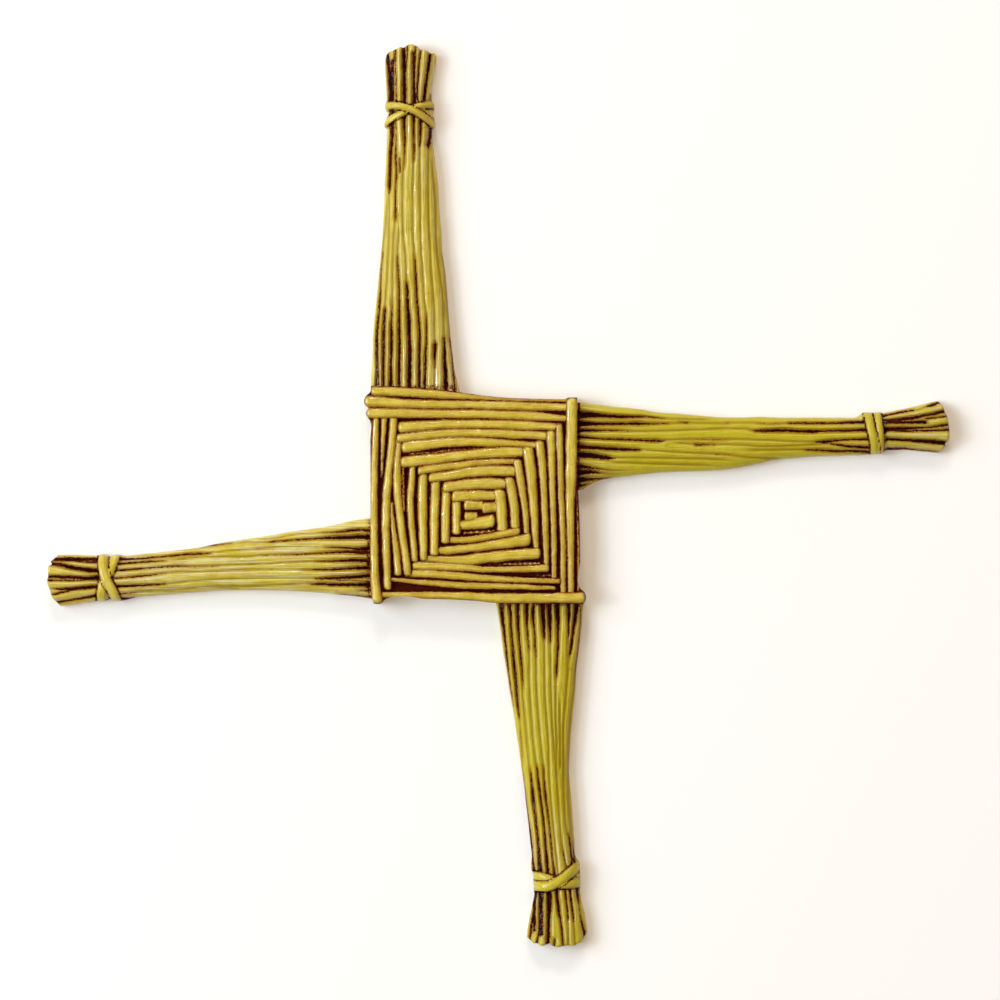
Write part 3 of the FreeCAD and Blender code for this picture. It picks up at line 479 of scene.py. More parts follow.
# Strands of the weave, each from its fold to its tail as (x, y, width). They lie flat along x or
# stand along y, as the table says.
LYING = [
    [(371, 391.1, 8.8), (400, 392.3, 9), (430, 394, 8.8), (450, 395.3, 7.4), (470, 397, 5.4),
     (490, 398.5, 3.8), (515, 399.8, 3.2), (566, 400.6, 3)],
    [(364.5, 401.6, 11), (380, 402.1, 9.8), (400, 403.5, 9), (430, 404.5, 8.6), (470, 404.9, 8.2),
     (500, 405.5, 8.2), (530, 406.5, 8.5), (564, 407.3, 7.6)],
    [(366.5, 413.3, 10), (400, 413.5, 9.2), (430, 414, 8.6), (470, 414, 8.6), (500, 415, 8.6), (530, 416, 9),
     (562, 418.4, 6)],
    [(398, 427.4, 10), (410, 427, 10.5), (430, 425.5, 9.5), (450, 424.5, 8.5), (490, 424.2, 8.5),
     (520, 425.4, 9), (556, 427, 7)],
    [(396.5, 438.8, 8), (410, 437, 8.5), (430, 435, 8.5), (450, 433.5, 8.5), (470, 433, 8),
     (500, 433.8, 8.5), (547, 436, 8)],
    [(401.5, 447.6, 11), (415, 446, 11), (430, 444.3, 10), (450, 442.5, 9.5), (470, 442, 9),
     (490, 442.5, 8.5), (510, 443.5, 6.5), (536, 445.2, 6)],
    [(400.5, 462.6, 10), (415, 461, 11), (430, 459.5, 10.5), (450, 457, 10), (470, 454.5, 9.5),
     (490, 453, 10), (510, 452, 10.5), (525, 452, 9)],
    [(417.5, 471.6, 8.4), (430, 469, 7.6), (450, 466.4, 7.2), (470, 463.8, 6.6), (490, 462, 6),
     (514, 461.4, 5)],
    [(428.5, 478.3, 8.6), (450, 475.3, 9.4), (470, 472.3, 10), (490, 470.8, 10.4), (516, 471, 10)],
    [(442.5, 487.6, 10), (460, 485.3, 10), (475, 483.8, 10.5), (490, 483.4, 11), (506, 483.8, 9)],
    [(451.5, 497, 11), (460, 496, 10.4), (475, 495.4, 10), (496, 495.4, 9)],
    [(463.5, 505.6, 10), (480.5, 505.2, 8.6)],
    [(481.5, 508, 10.4), (494.5, 507, 9.8)],
    [(464, 516.5, 9), (475.5, 516, 8)],
    [(585, 597.3, 11), (570, 597.6, 10), (540, 597.8, 9.6), (500, 598, 9.6), (470, 596, 8), (430, 595, 6.8),
     (380, 594.6, 5.4)],
    [(556, 588, 3.6), (530, 587, 5), (500, 586, 6), (470, 585.5, 6.5), (440, 583.5, 6), (410, 581, 4.6),
     (392, 579, 3.2)],
    [(560.5, 580.8, 5), (520, 579.8, 5.5), (490, 578.3, 6.5), (460, 576, 7.5), (430, 574, 7.6),
     (411, 573.4, 7)],
    [(549.5, 568, 7.6), (520, 569, 6.5), (490, 569.3, 6), (460, 567.3, 7), (430, 565.8, 8), (419, 565.4, 8)],
    [(541, 553, 11), (510, 555, 10.5), (480, 558.3, 11), (460, 560, 9), (440, 559.3, 7), (427, 558.5, 6)],
    [(531.5, 539, 12), (510, 542.3, 10.5), (490, 545.3, 9), (470, 548, 8), (450, 550, 8.5), (440, 550.5, 7)],
    [(520.5, 530.5, 7), (500, 534.5, 7), (480, 538, 6.5), (460, 540, 6.5), (451, 540, 6)],
    [(495.5, 520.5, 12.6), (480, 523, 11.5), (463, 525, 8.5)],
]
STANDING = [
    [(572, 397.6, 10.6), (571.4, 440, 11), (570.8, 480, 10.4), (570, 500, 8.6), (570.5, 550, 6.6),
     (571, 592, 6)],
    [(558.8, 424, 6.4), (559.7, 445, 6.6), (560.6, 480, 6), (561.2, 500, 6), (563, 550, 5.5),
     (563, 592, 5.4)],
    [(550.6, 430.5, 8.6), (551.6, 460, 7.6), (552.6, 500, 6.2), (554, 550, 5.6), (554, 577, 5)],
    [(539, 440.5, 9), (541.5, 460, 8.2), (543.8, 490, 6.8), (545, 520, 6.6), (546, 550, 5.6),
     (546.2, 566, 4.8)],
    [(527.5, 446.5, 10.2), (530, 465, 10.5), (532.5, 490, 9), (534.5, 520, 7.6), (536, 546, 5.6)],
    [(517, 459, 8), (519.5, 475, 8.2), (523, 495, 7.2), (525.5, 515, 6.2), (526.6, 535, 5)],
    [(509, 477, 9), (511.5, 490, 9.6), (514, 505, 9.2), (515.6, 530, 9)],
    [(499, 489, 10.6), (501, 505, 10.6), (502.6, 533, 10)],
    [(377.6, 603.5, 11), (375.6, 585, 8.8), (374.6, 550, 8), (374.2, 500, 7.4), (375, 460, 7),
     (376.4, 418, 6)],
    [(382, 478, 1.6), (383, 450, 3.6), (384.6, 418, 6)],
    [(388, 590, 6.6), (387, 560, 7.6), (386, 530, 8), (386.6, 500, 8.4), (388.5, 475, 8), (391.5, 450, 7.6),
     (394, 418, 7.6)],
    [(398.6, 576, 7), (396.5, 550, 6.5), (394, 530, 5), (392, 508, 2.6)],
    [(408.2, 576, 7.6), (405, 550, 7.6), (402, 530, 7.6), (399.6, 510, 7.6), (397.5, 485, 8),
     (397.5, 465, 7), (399, 445, 5)],
    [(415.2, 562, 6.2), (413.5, 540, 6.5), (411.5, 520, 6.5), (410.5, 500, 7), (412, 480, 6.5),
     (412.6, 466, 6)],
    [(424, 561, 7.2), (423, 530, 8.6), (422.8, 500, 9.4), (423.5, 474, 8.4)],
    [(434.6, 556, 7.8), (434.3, 530, 8.6), (435.2, 500, 9), (435.8, 480, 9)],
    [(445.6, 544, 7.8), (445.5, 520, 8.6), (446.5, 493, 8.4)],
    [(456.5, 535, 8.2), (456.5, 500, 8.6)],
]
# Strands that lie deep, seen in the open places or on the side of the square, with the depth
# below the crowns in millimetres and, where they are lumpy, the pitch of the lumps in pixels.
DEEP_LYING = [
    ([(408, 454.2, 3.6), (430, 452.6, 3.6), (450, 450.6, 3.4), (480, 448.4, 2.6)], 0.75, 5.2),
    ([(541, 563.5, 5), (520, 563.6, 4), (500, 564.4, 3), (488, 565, 2)], 0.85, 5.0),
    ([(496, 530.5, 4), (480, 532, 4.4), (464, 533, 4)], 0.85, 6.0),
    ([(555, 575.5, 4), (540, 575.6, 3.4)], 0.9, 5.0),
]
DEEP_STANDING = [
    ([(404, 512, 3.6), (403.4, 490, 4), (403, 466, 4)], 0.5, 0.0),
    ([(578.3, 592, 4.4), (578.2, 550, 4.4), (577.4, 505, 3.4), (576.4, 480, 2)], 1.0, 0.0),
    ([(371.6, 470, 2.4), (371.8, 440, 3), (372.2, 418, 3)], 0.9, 0.0),
]

# Outline of the square: left and right sides as (y, x), upper and lower sides as (x, y)
SQUARE_LEFT = [(386, 371), (392, 370.4), (395.5, 366.5), (401, 364.2), (405.5, 365.6), (408, 368.6),
    (410, 367.4), (413.5, 366.2), (417, 367.6), (421, 370.4), (440, 370.6), (520, 370.8), (560, 370.4),
    (594, 371.4), (604, 374)]
SQUARE_RIGHT = [(398, 577), (404, 577), (450, 576.6), (480, 577.6), (520, 579.4), (560, 580), (589, 580.4),
    (592, 584), (597, 585.8), (602, 584.6), (604, 582.5)]
SQUARE_UPPER = [(371, 386.3), (400, 386.6), (430, 388.6), (450, 390.9), (470, 394), (490, 396.6),
    (510, 398.2), (540, 399), (565, 399.4), (567.5, 398), (577, 397.6)]
SQUARE_LOWER = [(374, 603.4), (378, 604), (381.5, 603), (385, 599.4), (430, 598.8), (470, 600.2),
    (495, 602.7), (520, 603.2), (583, 603.8)]

# Where the outline of the cross runs along the square, from each arm to the next, clockwise.
ALONG_SQUARE = [
    [(461, 394), (490, 396.6), (540, 399), (572, 400)],
    [(577.6, 496), (579.4, 520), (580, 585)],
    [(470, 600.2), (430, 598.8), (385, 599.4)],
    [(370.8, 512), (370.6, 440), (370.6, 392)],
]

PAINT_VALUES = ("slot", "hollow", "reed", "run", "side", "green", "brown", "pale", "gloss")


def rising(rows, column):
    """The rows' places and their values in this column, with the places in rising order."""
    x = np.array([row[0] for row in rows], float)
    y = np.array([row[column] for row in rows], float)
    return (x[::-1], y[::-1]) if x[0] > x[-1] else (x, y)


def curve(rows, places, column):
    """The rows' values in this column at the places, joined by a smooth curve through the rows."""
    x, y = rising(rows, column)
    step = np.diff(x)
    slope = np.diff(y) / step
    tangent = np.concatenate([slope[:1], (slope[:-1] + slope[1:]) / 2, slope[-1:]])
    flat = np.concatenate([[False], slope[:-1] * slope[1:] <= 0, [False]])
    tangent[flat] = 0.0
    places = np.clip(places, x[0], x[-1])
    i = np.clip(np.searchsorted(x, places) - 1, 0, len(x) - 2)
    t = (places - x[i]) / step[i]
    return (
        y[i] * (1 + 2 * t) * (1 - t) ** 2 + tangent[i] * step[i] * t * (1 - t) ** 2
        + y[i + 1] * t**2 * (3 - 2 * t) + tangent[i + 1] * step[i] * t**2 * (t - 1)
    )


def straight(rows, places, column):
    """The same, joined by straight lines."""
    x, y = rising(rows, column)
    return np.interp(places, x, y)


def smooth_step(value, low, high):
    t = np.clip((value - low) / (high - low), 0, 1)
    return t * t * (3 - 2 * t)


def round_fall(t):
    """0 at the crown of a rounded reed (t = 0) and 1 at its side (t = 1), as on a circle."""
    return 1 - np.sqrt(1 - np.clip(t, 0, 1) ** 2)


def wander(x, y, seed):
    """Smooth unevenness, mostly between -1 and 1, from a few waves of 9 to 34 pixels."""
    rng = np.random.default_rng(seed)
    total = np.zeros_like(x, float)
    for _ in range(6):
        angle, phase = rng.uniform(0, 2 * math.pi, 2)
        length = rng.uniform(9, 34)
        total += np.sin((x * math.cos(angle) + y * math.sin(angle)) * 2 * math.pi / length + phase)
    return total / 3.5


def to_mm(px, py):
    """A place in the photograph as x and z of the cross, in millimetres."""
    return (px - ORIGIN_PIXEL[0]) * PIXEL, (ORIGIN_PIXEL[1] - py) * PIXEL


def turned(arm, first, second):
    """From along and across an arm to x and y of the photograph, or back again."""
    return (second, first) if arm["upright"] else (first, second)


def outward(arm):
    """1 or -1: the way that the readings along an arm go from its root to its tip."""
    return np.sign(arm["tie"][0] - arm["root"])


class Surface:
    """Heights and paint of a part of the relief: every value is an array over the same places.

    height is in millimetres above the back, slot in pixels inside a washed groove, negative
    outside it. run and side are pixels along and across the reed, and reed is its number. The share
    of painted shade is 0 on a crown and 1 in a valley or on the side of a strand or cord: darker paint
    that stands in for shade, with paint pooled in the valleys. The green share is that of greener and
    darker paint, a greener tone with painted shade on the bundles farther from the lights; brown is that
    of brown in the hollows; the share of pale streaks is a painted sheen that stands in for the lights'
    reflection; and gloss is that of the varnish.
    """

    def __init__(self, places, **values):
        self.places = places
        self.put(**values)

    def put(self, **values):
        """Gives the whole of it these values, which are numbers or arrays."""
        for name, value in values.items():
            setattr(self, name, np.full_like(self.places, value))

    def lay(self, where, **values):
        """Gives these values to the places that the mask picks."""
        for name, value in values.items():
            setattr(self, name, np.where(where, value, getattr(self, name)))


def valley_depth(width):
    if width < 0:
        return 0.0
    if width == 0:
        return VALLEY_DEPTH
    return min(SLOT_DEPTH + SLOT_GAIN * width, SLOT_LIMIT)


def bundle_sides(arm, along):
    rows = arm["sides"] + arm["tie_sides"] + arm["tip_sides"]
    return curve(rows, along, 1), curve(rows, along, 2)


def domed(crown, v, power):
    """Height of a bundle's body, with v from 0 along its middle to 1 at its sides."""
    return EDGE_RISE + (crown - EDGE_RISE) * (1 - v**power) ** (1 / power)


def lay_valleys(arm, surface, s, along, across):
    """Lays a bundle's slots and the numbers of its reeds, and gives the depth of its valleys."""
    cut = np.zeros_like(s)
    nearest = np.full_like(s, 99.0)
    for number, rows in enumerate(arm["valleys"]):
        start, stop = ((rows[k][0] - arm["root"]) * outward(arm) for k in (0, -1))
        before = GOES_ON if start < NEAR_ROOT else 0
        after = GOES_ON if rows[-1][2] > THROUGH_WIDTH else 0
        here = (s > start - before) & (s < stop + after)
        widths = [(row[0], max(row[2], 0)) for row in rows]
        depths = [(row[0], valley_depth(row[2])) for row in rows]
        width = np.where(here, straight(widths, along, 1), 0)
        depth = np.where(here, straight(depths, along, 1), 0)
        centre = curve(rows, along, 1)
        away = np.abs(across - centre)
        beside = np.maximum(away - width / 2, 0)
        open_cut = round_fall(1 - (np.sqrt(beside**2 + SLOT_SOFT**2) - SLOT_SOFT) / REED_REACH)
        filled_cut = np.exp(-((beside / VALLEY_SOFT) ** 2))
        this_cut = depth * (filled_cut + (open_cut - filled_cut) * smooth_step(width, *SLOT_OPENS))
        cut = np.maximum(cut, this_cut)
        slot = np.where(here & (width > 0.1), width / 2 - away, NO_SLOT)
        surface.slot = np.maximum(surface.slot, slot)
        closer = here & (away < nearest)
        nearest = np.where(closer, away, nearest)
        surface.lay(closer, reed=number * 2 + (across > centre))
    return cut


def lay_cord(cord, number, surface, v, by_tie, along, across):
    """Lays a cord of the tie over the bundle, with the wash beside it, which is also painted shade at its
    foot.
    """
    path, half = cord["path"], cord["width"] / 2
    centre = curve(path, across, 1)
    slope = (curve(path, across + 1, 1) - curve(path, across - 1, 1)) / 2
    away = np.abs(along - centre) / np.sqrt(1 + slope**2)
    share = away / half
    lifted = cord["lift"] * smooth_step(v, 1.0, 0.5)
    top = domed(TIED_CROWN, v, CORD_POWER) + CORD_STAND + lifted - round_fall(share) * CORD_ROUND
    on_cord = (share < 1) & (top > surface.height)
    # the cord's sides get darker paint: painted shade
    surface.lay(
        on_cord, height=top, slot=(share - 1) * half + CORD_WASH, run=across, side=along - centre,
        hollow=smooth_step(share, 0.5, 1.0) * 0.8, reed=CORD_REED + number,
    )
    # dark wash at the cord's foot: pooled wash, and painted shade
    beside = (share >= 1) & (away - half < SHADE_REACH) & ~on_cord & by_tie
    surface.lay(beside, slot=np.maximum(surface.slot, SHADE_WASH - (away - half)))


def bundle_surface(arm, along, across):
    """The relief of a bundle at these readings: a domed body, cut by its valleys, under its tie."""
    out = outward(arm)
    s = (along - arm["root"]) * out
    tie_from, tie_to = ((value - arm["root"]) * out for value in arm["tie"])
    low, high = bundle_sides(arm, along)
    v = np.abs(np.clip((across - low) / (high - low) * 2 - 1, -1, 1))
    crown = np.interp(s, [0, tie_from * 0.5, tie_from, tie_to + TIP_RUN],
                      [ROOT_CROWN, MIDDLE_CROWN, TIED_CROWN, TIP_CROWN])
    power = np.interp(s, [0, tie_from * 0.75], [FLAT_POWER, ROUND_POWER])
    dome = domed(crown, v, power)

    surface = Surface(s, slot=NO_SLOT, reed=0.0, run=along * out, side=across)
    cut = lay_valleys(arm, surface, s, along, across)
    height = dome - cut * np.clip((dome - CUT_FLOOR) / CUT_FADE, CUT_LEAST, 1)
    # the deeper a valley is cut, the darker its paint: painted shade, with paint pooled there
    surface.put(height=height + UNEVEN * wander(along, across, 11),
                hollow=np.clip(cut / VALLEY_DEPTH, 0, 1))
    wider = arm["end_wash"] * smooth_step(s, tie_from - END_WASH_RUN, tie_from)
    surface.lay(surface.slot > NO_SLOT + 0.5, slot=surface.slot + wider)

    by_tie = (s > tie_from - SHADE_RUN) & (s < tie_to + SHADE_RUN)
    for number, cord in enumerate(arm["cords"]):
        lay_cord(cord, number, surface, v, by_tie, along, across)
    to_end = (curve(arm["end"], across, 1) - along) * out
    surface.height -= TIP_ROUND * round_fall(1 - np.clip(to_end, 0, TIP_ROUND_RUN) / TIP_ROUND_RUN)
    root_wash = ROOT_WASH - np.abs(s - ROOT_EDGE) + 0.5 * wander(along, across, 5)
    surface.slot = np.maximum(surface.slot, root_wash)
    return surface


def arm_grid(arm):
    """Readings over an arm: rows close under the tie, and past it fitted to the ragged end."""
    out = outward(arm)
    tie_from, tie_to = arm["tie"]
    body = np.linspace(arm["root"] - UNDER_SQUARE * out, tie_from - 2 * out, BODY_ROWS)
    rows = np.concatenate([body, np.linspace(tie_from, tie_to, TIE_ROWS)])
    t = np.linspace(0, 1, ARM_COLUMNS)
    u = t + SIDE_CLOSENESS * (0.5 - 0.5 * np.cos(np.pi * t) - t)
    along = np.repeat(rows[:, None], ARM_COLUMNS, 1)
    low, high = bundle_sides(arm, along)
    across = low + (high - low) * u
    tips = []
    for r in np.linspace(0, 1, TIP_ROWS + 1)[1:]:
        a = np.full(ARM_COLUMNS, float(tie_to))
        for _ in range(END_PASSES):
            low, high = bundle_sides(arm, a)
            c = low + (high - low) * u
            a = tie_to + (curve(arm["end"], c, 1) - tie_to) * r
        tips.append((a, c))
    along = np.concatenate([along] + [a[None] for a, c in tips])
    across = np.concatenate([across] + [c[None] for a, c in tips])
    return along, across


def lay_strand(surface, level, number, strand, px, py):
    """Lays a strand of the weave where it is the highest yet."""
    rows, lying, deep, lumps = strand
    run, side = (px, py) if lying else (py, px)
    line = rows if lying else [(y, x, width) for x, y, width in rows]
    fold, tail = line[0][0], line[-1][0]
    length = abs(tail - fold)
    passed = (run - fold) * np.sign(tail - fold)
    centre = curve(line, run, 1) + STRAND_WANDER * wander(run, 50 + 0 * run, 40 + number)
    half = curve(line, run, 2) / 2 * STRAND_FULL + STRAND_SIDE
    half = half * (1 + STRAND_UNEVEN * wander(run, 0 * run, 140 + number))
    reach = half * STRAND_END
    before = np.maximum(reach - passed, 0) / reach
    dive = 0 if deep else min(TAIL_DIVE, TAIL_SHARE * length)
    after = np.maximum(passed - length - dive, 0) / TAIL_ROUND
    share = np.sqrt(((side - centre) / half) ** 2 + before**FOLD_POWER + after**2)
    surface.gap = np.minimum(surface.gap, np.maximum(share - 1, 0) * half)
    lift = -deep
    if not deep:
        t = np.clip(passed / length, 0, 1)
        lift = FOLD_LIFT * (1 - smooth_step(t, 0, 0.5)) - TAIL_DROP * smooth_step(t, 0.55, 1)
        lift = lift - FOLD_DIP * np.clip(1 - passed / FOLD_RUN, 0, 1) ** 2
    if lumps:
        lift = lift + LUMP_RISE * np.cos(passed * 2 * math.pi / lumps)
    drop = np.minimum(half * PIXEL * STRAND_ROUND, STRAND_DROP_LIMIT)
    top = level + lift - drop * round_fall(share)
    slot = (share - 1) * half + STRAND_WASH + (DEEP_WASH if deep else 0.0)
    gloss = STRAND_GLOSS + FOLD_GLOSS * smooth_step(passed, *FOLD_SHINE)
    # towards its sides a strand gets darker paint: painted shade
    surface.lay(
        (share < 1) & (top > surface.height), height=top, slot=slot, gloss=gloss,
        run=passed + LENGTH_APART * number, side=side - centre, reed=STRAND_REED + number,
        hollow=smooth_step(share, 0.45, 1.0),
    )


def strand_surface(px, py):
    """The weave at these readings: the highest strand at each place, over the floor between them."""
    out = np.maximum(np.abs(px - HEART_PIXEL[0]), np.abs(py - HEART_PIXEL[1])) / HALF_SQUARE
    level = HEART_LEVEL + (RIM_LEVEL - HEART_LEVEL) * np.minimum(out, 1)
    level = level + LEVEL_UNEVEN * wander(px, py, 3)
    # the floor between the strands gets the darkest paint, painted shade under the wash, and the weave a
    # little painted sheen
    surface = Surface(px, height=level - GROOVE_FLOOR, slot=0.0, run=px, side=py, reed=FLOOR_REED,
                      hollow=1.0, green=0.0, brown=1.0, pale=WEAVE_SHEEN, gloss=STRAND_GLOSS, gap=9.0)
    strands = [(rows, True, 0.0, 0.0) for rows in LYING] + [(rows, False, 0.0, 0.0) for rows in STANDING]
    strands += [(rows, True, deep, lumps) for rows, deep, lumps in DEEP_LYING]
    strands += [(rows, False, deep, lumps) for rows, deep, lumps in DEEP_STANDING]
    for number, strand in enumerate(strands):
        lay_strand(surface, level, number, strand, px, py)
    surface.lay(surface.reed == FLOOR_REED, slot=STRAND_WASH + 0.5 * surface.gap)
    return surface


def square_grid():
    """Readings over the square, spread evenly between its four curved sides."""
    columns, rows = SQUARE_CELLS
    u, v = np.meshgrid(np.linspace(0, 1, columns), np.linspace(0, 1, rows))
    left, right, upper, lower = (
        curve(side, side[0][0] + (side[-1][0] - side[0][0]) * t, 1)
        for side, t in ((SQUARE_LEFT, v), (SQUARE_RIGHT, v), (SQUARE_UPPER, u), (SQUARE_LOWER, u))
    )
    return left + (right - left) * u, upper + (lower - upper) * v


def outward_loop(rows, columns):
    """Numbers of the vertices round a grid, once round."""
    top = list(range(columns))
    right = [r * columns + columns - 1 for r in range(1, rows)]
    bottom = [(rows - 1) * columns + c for c in range(columns - 2, -1, -1)]
    left = [r * columns for r in range(rows - 2, 0, -1)]
    return top + right + bottom + left


class Shell:
    """A closed shell: a relief on top, upright sides and a flat back, which may have a blind hole."""

    def __init__(self, x, z, surface, normals, sunk=None, side_levels=(), hole=None):
        rows, columns = x.shape
        loop = outward_loop(rows, columns)
        top = np.stack([x.ravel(), -surface.height.ravel(), z.ravel()], 1)
        self.points, self.normals = [top], [normals.reshape(-1, 3)]
        self.values = {name: [getattr(surface, name)] for name in PAINT_VALUES}
        grid = np.arange(rows * columns).reshape(rows, columns)
        corners = [grid[:-1, :-1], grid[:-1, 1:], grid[1:, 1:], grid[1:, :-1]]
        self.faces = list(np.stack(corners, -1).reshape(-1, 4))
        edge = np.array(loop)
        for level in side_levels:
            ring = self.add_ring(reed_side(top[loop], level), loop, level)
            self.faces += list(band(edge, ring))
            edge = ring
        foot = top[loop].copy()
        foot[:, 1] = 0.0 if sunk is None else -SUNK * sunk.ravel()[loop]
        ring = self.add_ring(foot, loop)
        self.faces += list(band(edge, ring))
        if signed_turn(x[0, 0], z[0, 0], x[0, -1], z[0, -1], x[-1, 0], z[-1, 0]) < 0:
            self.faces = [face[::-1] for face in self.faces]
        painted = len(self.faces)
        self.add_back(foot[:, ::2], ring[0], hole)
        self.bare = (np.arange(len(self.faces)) >= painted).astype(float)
        self.points = np.concatenate(self.points)
        self.normals = np.concatenate(self.normals)
        for name, parts in self.values.items():
            self.values[name] = np.concatenate([part.ravel() for part in parts])

    def add_ring(self, points, loop=None, level=None):
        """More vertices, once round; with the paint of the relief's edge above them, if they have one."""
        first = sum(len(part) for part in self.points)
        self.points.append(points)
        self.normals.append(np.full((len(points), 3), np.nan))
        for name, parts in self.values.items():
            parts.append(np.zeros(len(points)) if loop is None else parts[0].ravel()[loop])
        if level is not None:
            height, _, wash, reed, tilt = level
            self.normals[-1] = side_normals(points, tilt)
            walked = np.linalg.norm(np.diff(points[:, ::2], axis=0, prepend=points[-1:, ::2]), axis=1)
            # the crease between the side's two reeds gets the darker paint: painted shade
            paint = {
                "slot": wash, "hollow": 0.5 + 0.5 * wash, "reed": SIDE_REED + reed,
                "run": np.cumsum(walked) / PIXEL, "side": height / PIXEL,
            }
            for name, value in paint.items():
                self.values[name][-1] = np.full(len(points), value, float)
        return first + np.arange(len(points))

    def add_back(self, outline, first, hole):
        """The flat back inside the sides' foot, whose vertices start at first, and its blind hole."""
        openings = []
        if hole:
            centre_x, centre_z, radius, depth = hole
            turn = np.linspace(0, 2 * math.pi, HOLE_SIDES + 1)[:-1]
            rim = np.stack([centre_x + radius * np.cos(turn), 0 * turn, centre_z + radius * np.sin(turn)], 1)
            self.add_ring(rim)
            mouth = self.add_ring(rim)
            floor = self.add_ring(rim - (0, depth, 0))
            self.faces += list(band(mouth, floor)) + [floor[::-1]]
            openings = [rim[:, ::2]]
        self.faces += [[first + i for i in face[::-1]] for face in plate(outline, *openings)]


def side_outward(points):
    """Which way is out at these places round the square: along x or along z."""
    away = points[:, ::2] - points[:, ::2].mean(0)
    away = away / np.ptp(points[:, ::2], axis=0)
    along_x = np.abs(away[:, 0]) > np.abs(away[:, 1])
    out = np.zeros_like(points)
    out[:, 0] = np.where(along_x, np.sign(away[:, 0]), 0)
    out[:, 2] = np.where(along_x, 0, np.sign(away[:, 1]))
    return out


def reed_side(edge, level):
    """The vertices of the square's edge moved down its side to this level."""
    height, inset = level[:2]
    points = edge - side_outward(edge) * inset
    points[:, 1] = np.maximum(edge[:, 1] * height / SIDE_TOP, -height)
    return points


def side_normals(points, tilt):
    normals = side_outward(points) - (0, tilt, 0)
    return normals / np.linalg.norm(normals, axis=1, keepdims=True)


def band(one, other):
    """Faces between two loops of vertices with as many in each."""
    return np.stack([one, other, np.roll(other, -1), np.roll(one, -1)], 1)


def signed_turn(x0, z0, x1, z1, x2, z2):
    return (x1 - x0) * (z2 - z0) - (z1 - z0) * (x2 - x0)


def plate(outline, *holes):
    """Triangles that fill an outline round its holes, facing the front. Points are (x, z)."""
    loops = [outline] + list(holes)
    points = np.concatenate(loops)
    faces = []
    for a, b, c in tessellate_polygon([[Vector((x, z, 0)) for x, z in loop] for loop in loops]):
        forward = signed_turn(*points[a], *points[b], *points[c]) > 0
        faces.append([a, b, c] if forward else [c, b, a])
    return faces


def height_normals(heights, px, py):
    """Outward normals of the relief, from its heights a short step to each side."""
    step = NORMAL_STEP
    rise_x = (heights(px + step, py) - heights(px - step, py)) / (2 * step * PIXEL)
    rise_z = (heights(px, py - step) - heights(px, py + step)) / (2 * step * PIXEL)
    normals = np.stack([-rise_x, -np.ones_like(rise_x), -rise_z], -1)
    return normals / np.linalg.norm(normals, axis=-1, keepdims=True)


def arm_shell(arm):
    """A bundle with its tie, its root just inside the square."""
    along, across = arm_grid(arm)
    surface = bundle_surface(arm, along, across)
    s = np.abs(along - arm["root"])
    tie_from, tie_to = (abs(value - arm["root"]) for value in arm["tie"])
    starts = (0, tie_from, tie_to)
    stretches = [start + pixels for start, places in zip(starts, PAINT_PLACES) for pixels in places]
    # pale streaks along the bundle, most at its root: painted sheen
    root, middle, end, tip = arm["pale"]
    pale = np.interp(s, stretches, [root, middle, middle, end, tip, tip])
    gloss = np.interp(s, stretches, BUNDLE_GLOSS)
    # greener, darker paint on some bundles: partly painted shade
    surface.put(green=arm["green"], brown=BUNDLE_BROWN, pale=pale, gloss=gloss)
    surface.lay(surface.reed >= CORD_REED, pale=WEAVE_SHEEN)
    px, py = turned(arm, along, across)

    def heights(px, py):
        return bundle_surface(arm, *turned(arm, px, py)).height

    under_square = (along - arm["root"]) * outward(arm) < ROOT_EDGE
    return Shell(*to_mm(px, py), surface, height_normals(heights, px, py), sunk=under_square)


def square_shell():
    """The woven square, with the reeds on its sides and the nail hole in its back."""
    px, py = square_grid()
    normals = height_normals(lambda a, b: strand_surface(a, b).height, px, py)
    surface = strand_surface(px, py)
    return Shell(*to_mm(px, py), surface, normals, side_levels=SIDE_LEVELS, hole=NAIL_HOLE)


def add_to_scene(name, data):
    thing = bpy.data.objects.new(name, data)
    bpy.context.scene.collection.objects.link(thing)
    return thing


def set_values(mesh, name, domain, parts):
    layer = mesh.attributes.new(name, "FLOAT", domain)
    layer.data.foreach_set("value", np.concatenate(parts).astype(np.float32))


def casting_object(shells):
    """The whole casting as one object: the four bundles and the square, run into each other."""
    faces = []
    base = 0
    for shell in shells:
        faces += [[int(i) + base for i in face] for face in shell.faces]
        base += len(shell.points)
    mesh = bpy.data.meshes.new("casting")
    mesh.from_pydata(np.concatenate([shell.points for shell in shells]) * MM, [], faces)
    for name in PAINT_VALUES:
        set_values(mesh, name, "POINT", [shell.values[name] for shell in shells])
    set_values(mesh, "bare", "FACE", [shell.bare for shell in shells])
    mesh.update()
    smooth_relief(mesh, np.concatenate([shell.normals for shell in shells]))
    return add_to_scene("casting", mesh)


def smooth_relief(mesh, normals):
    """Gives the mesh its worked-out normals, and leaves the faces that have none flat."""
    flat = np.isnan(normals[:, 0])
    corners = np.empty(len(mesh.loops), np.int32)
    mesh.loops.foreach_get("vertex_index", corners)
    result = normals[corners]
    for polygon in mesh.polygons:
        span = slice(polygon.loop_start, polygon.loop_start + polygon.loop_total)
        if flat[corners[span]].any():
            result[span] = polygon.normal
    mesh.polygons.foreach_set("use_smooth", np.ones(len(mesh.polygons), bool))
    mesh.normals_split_custom_set(result)


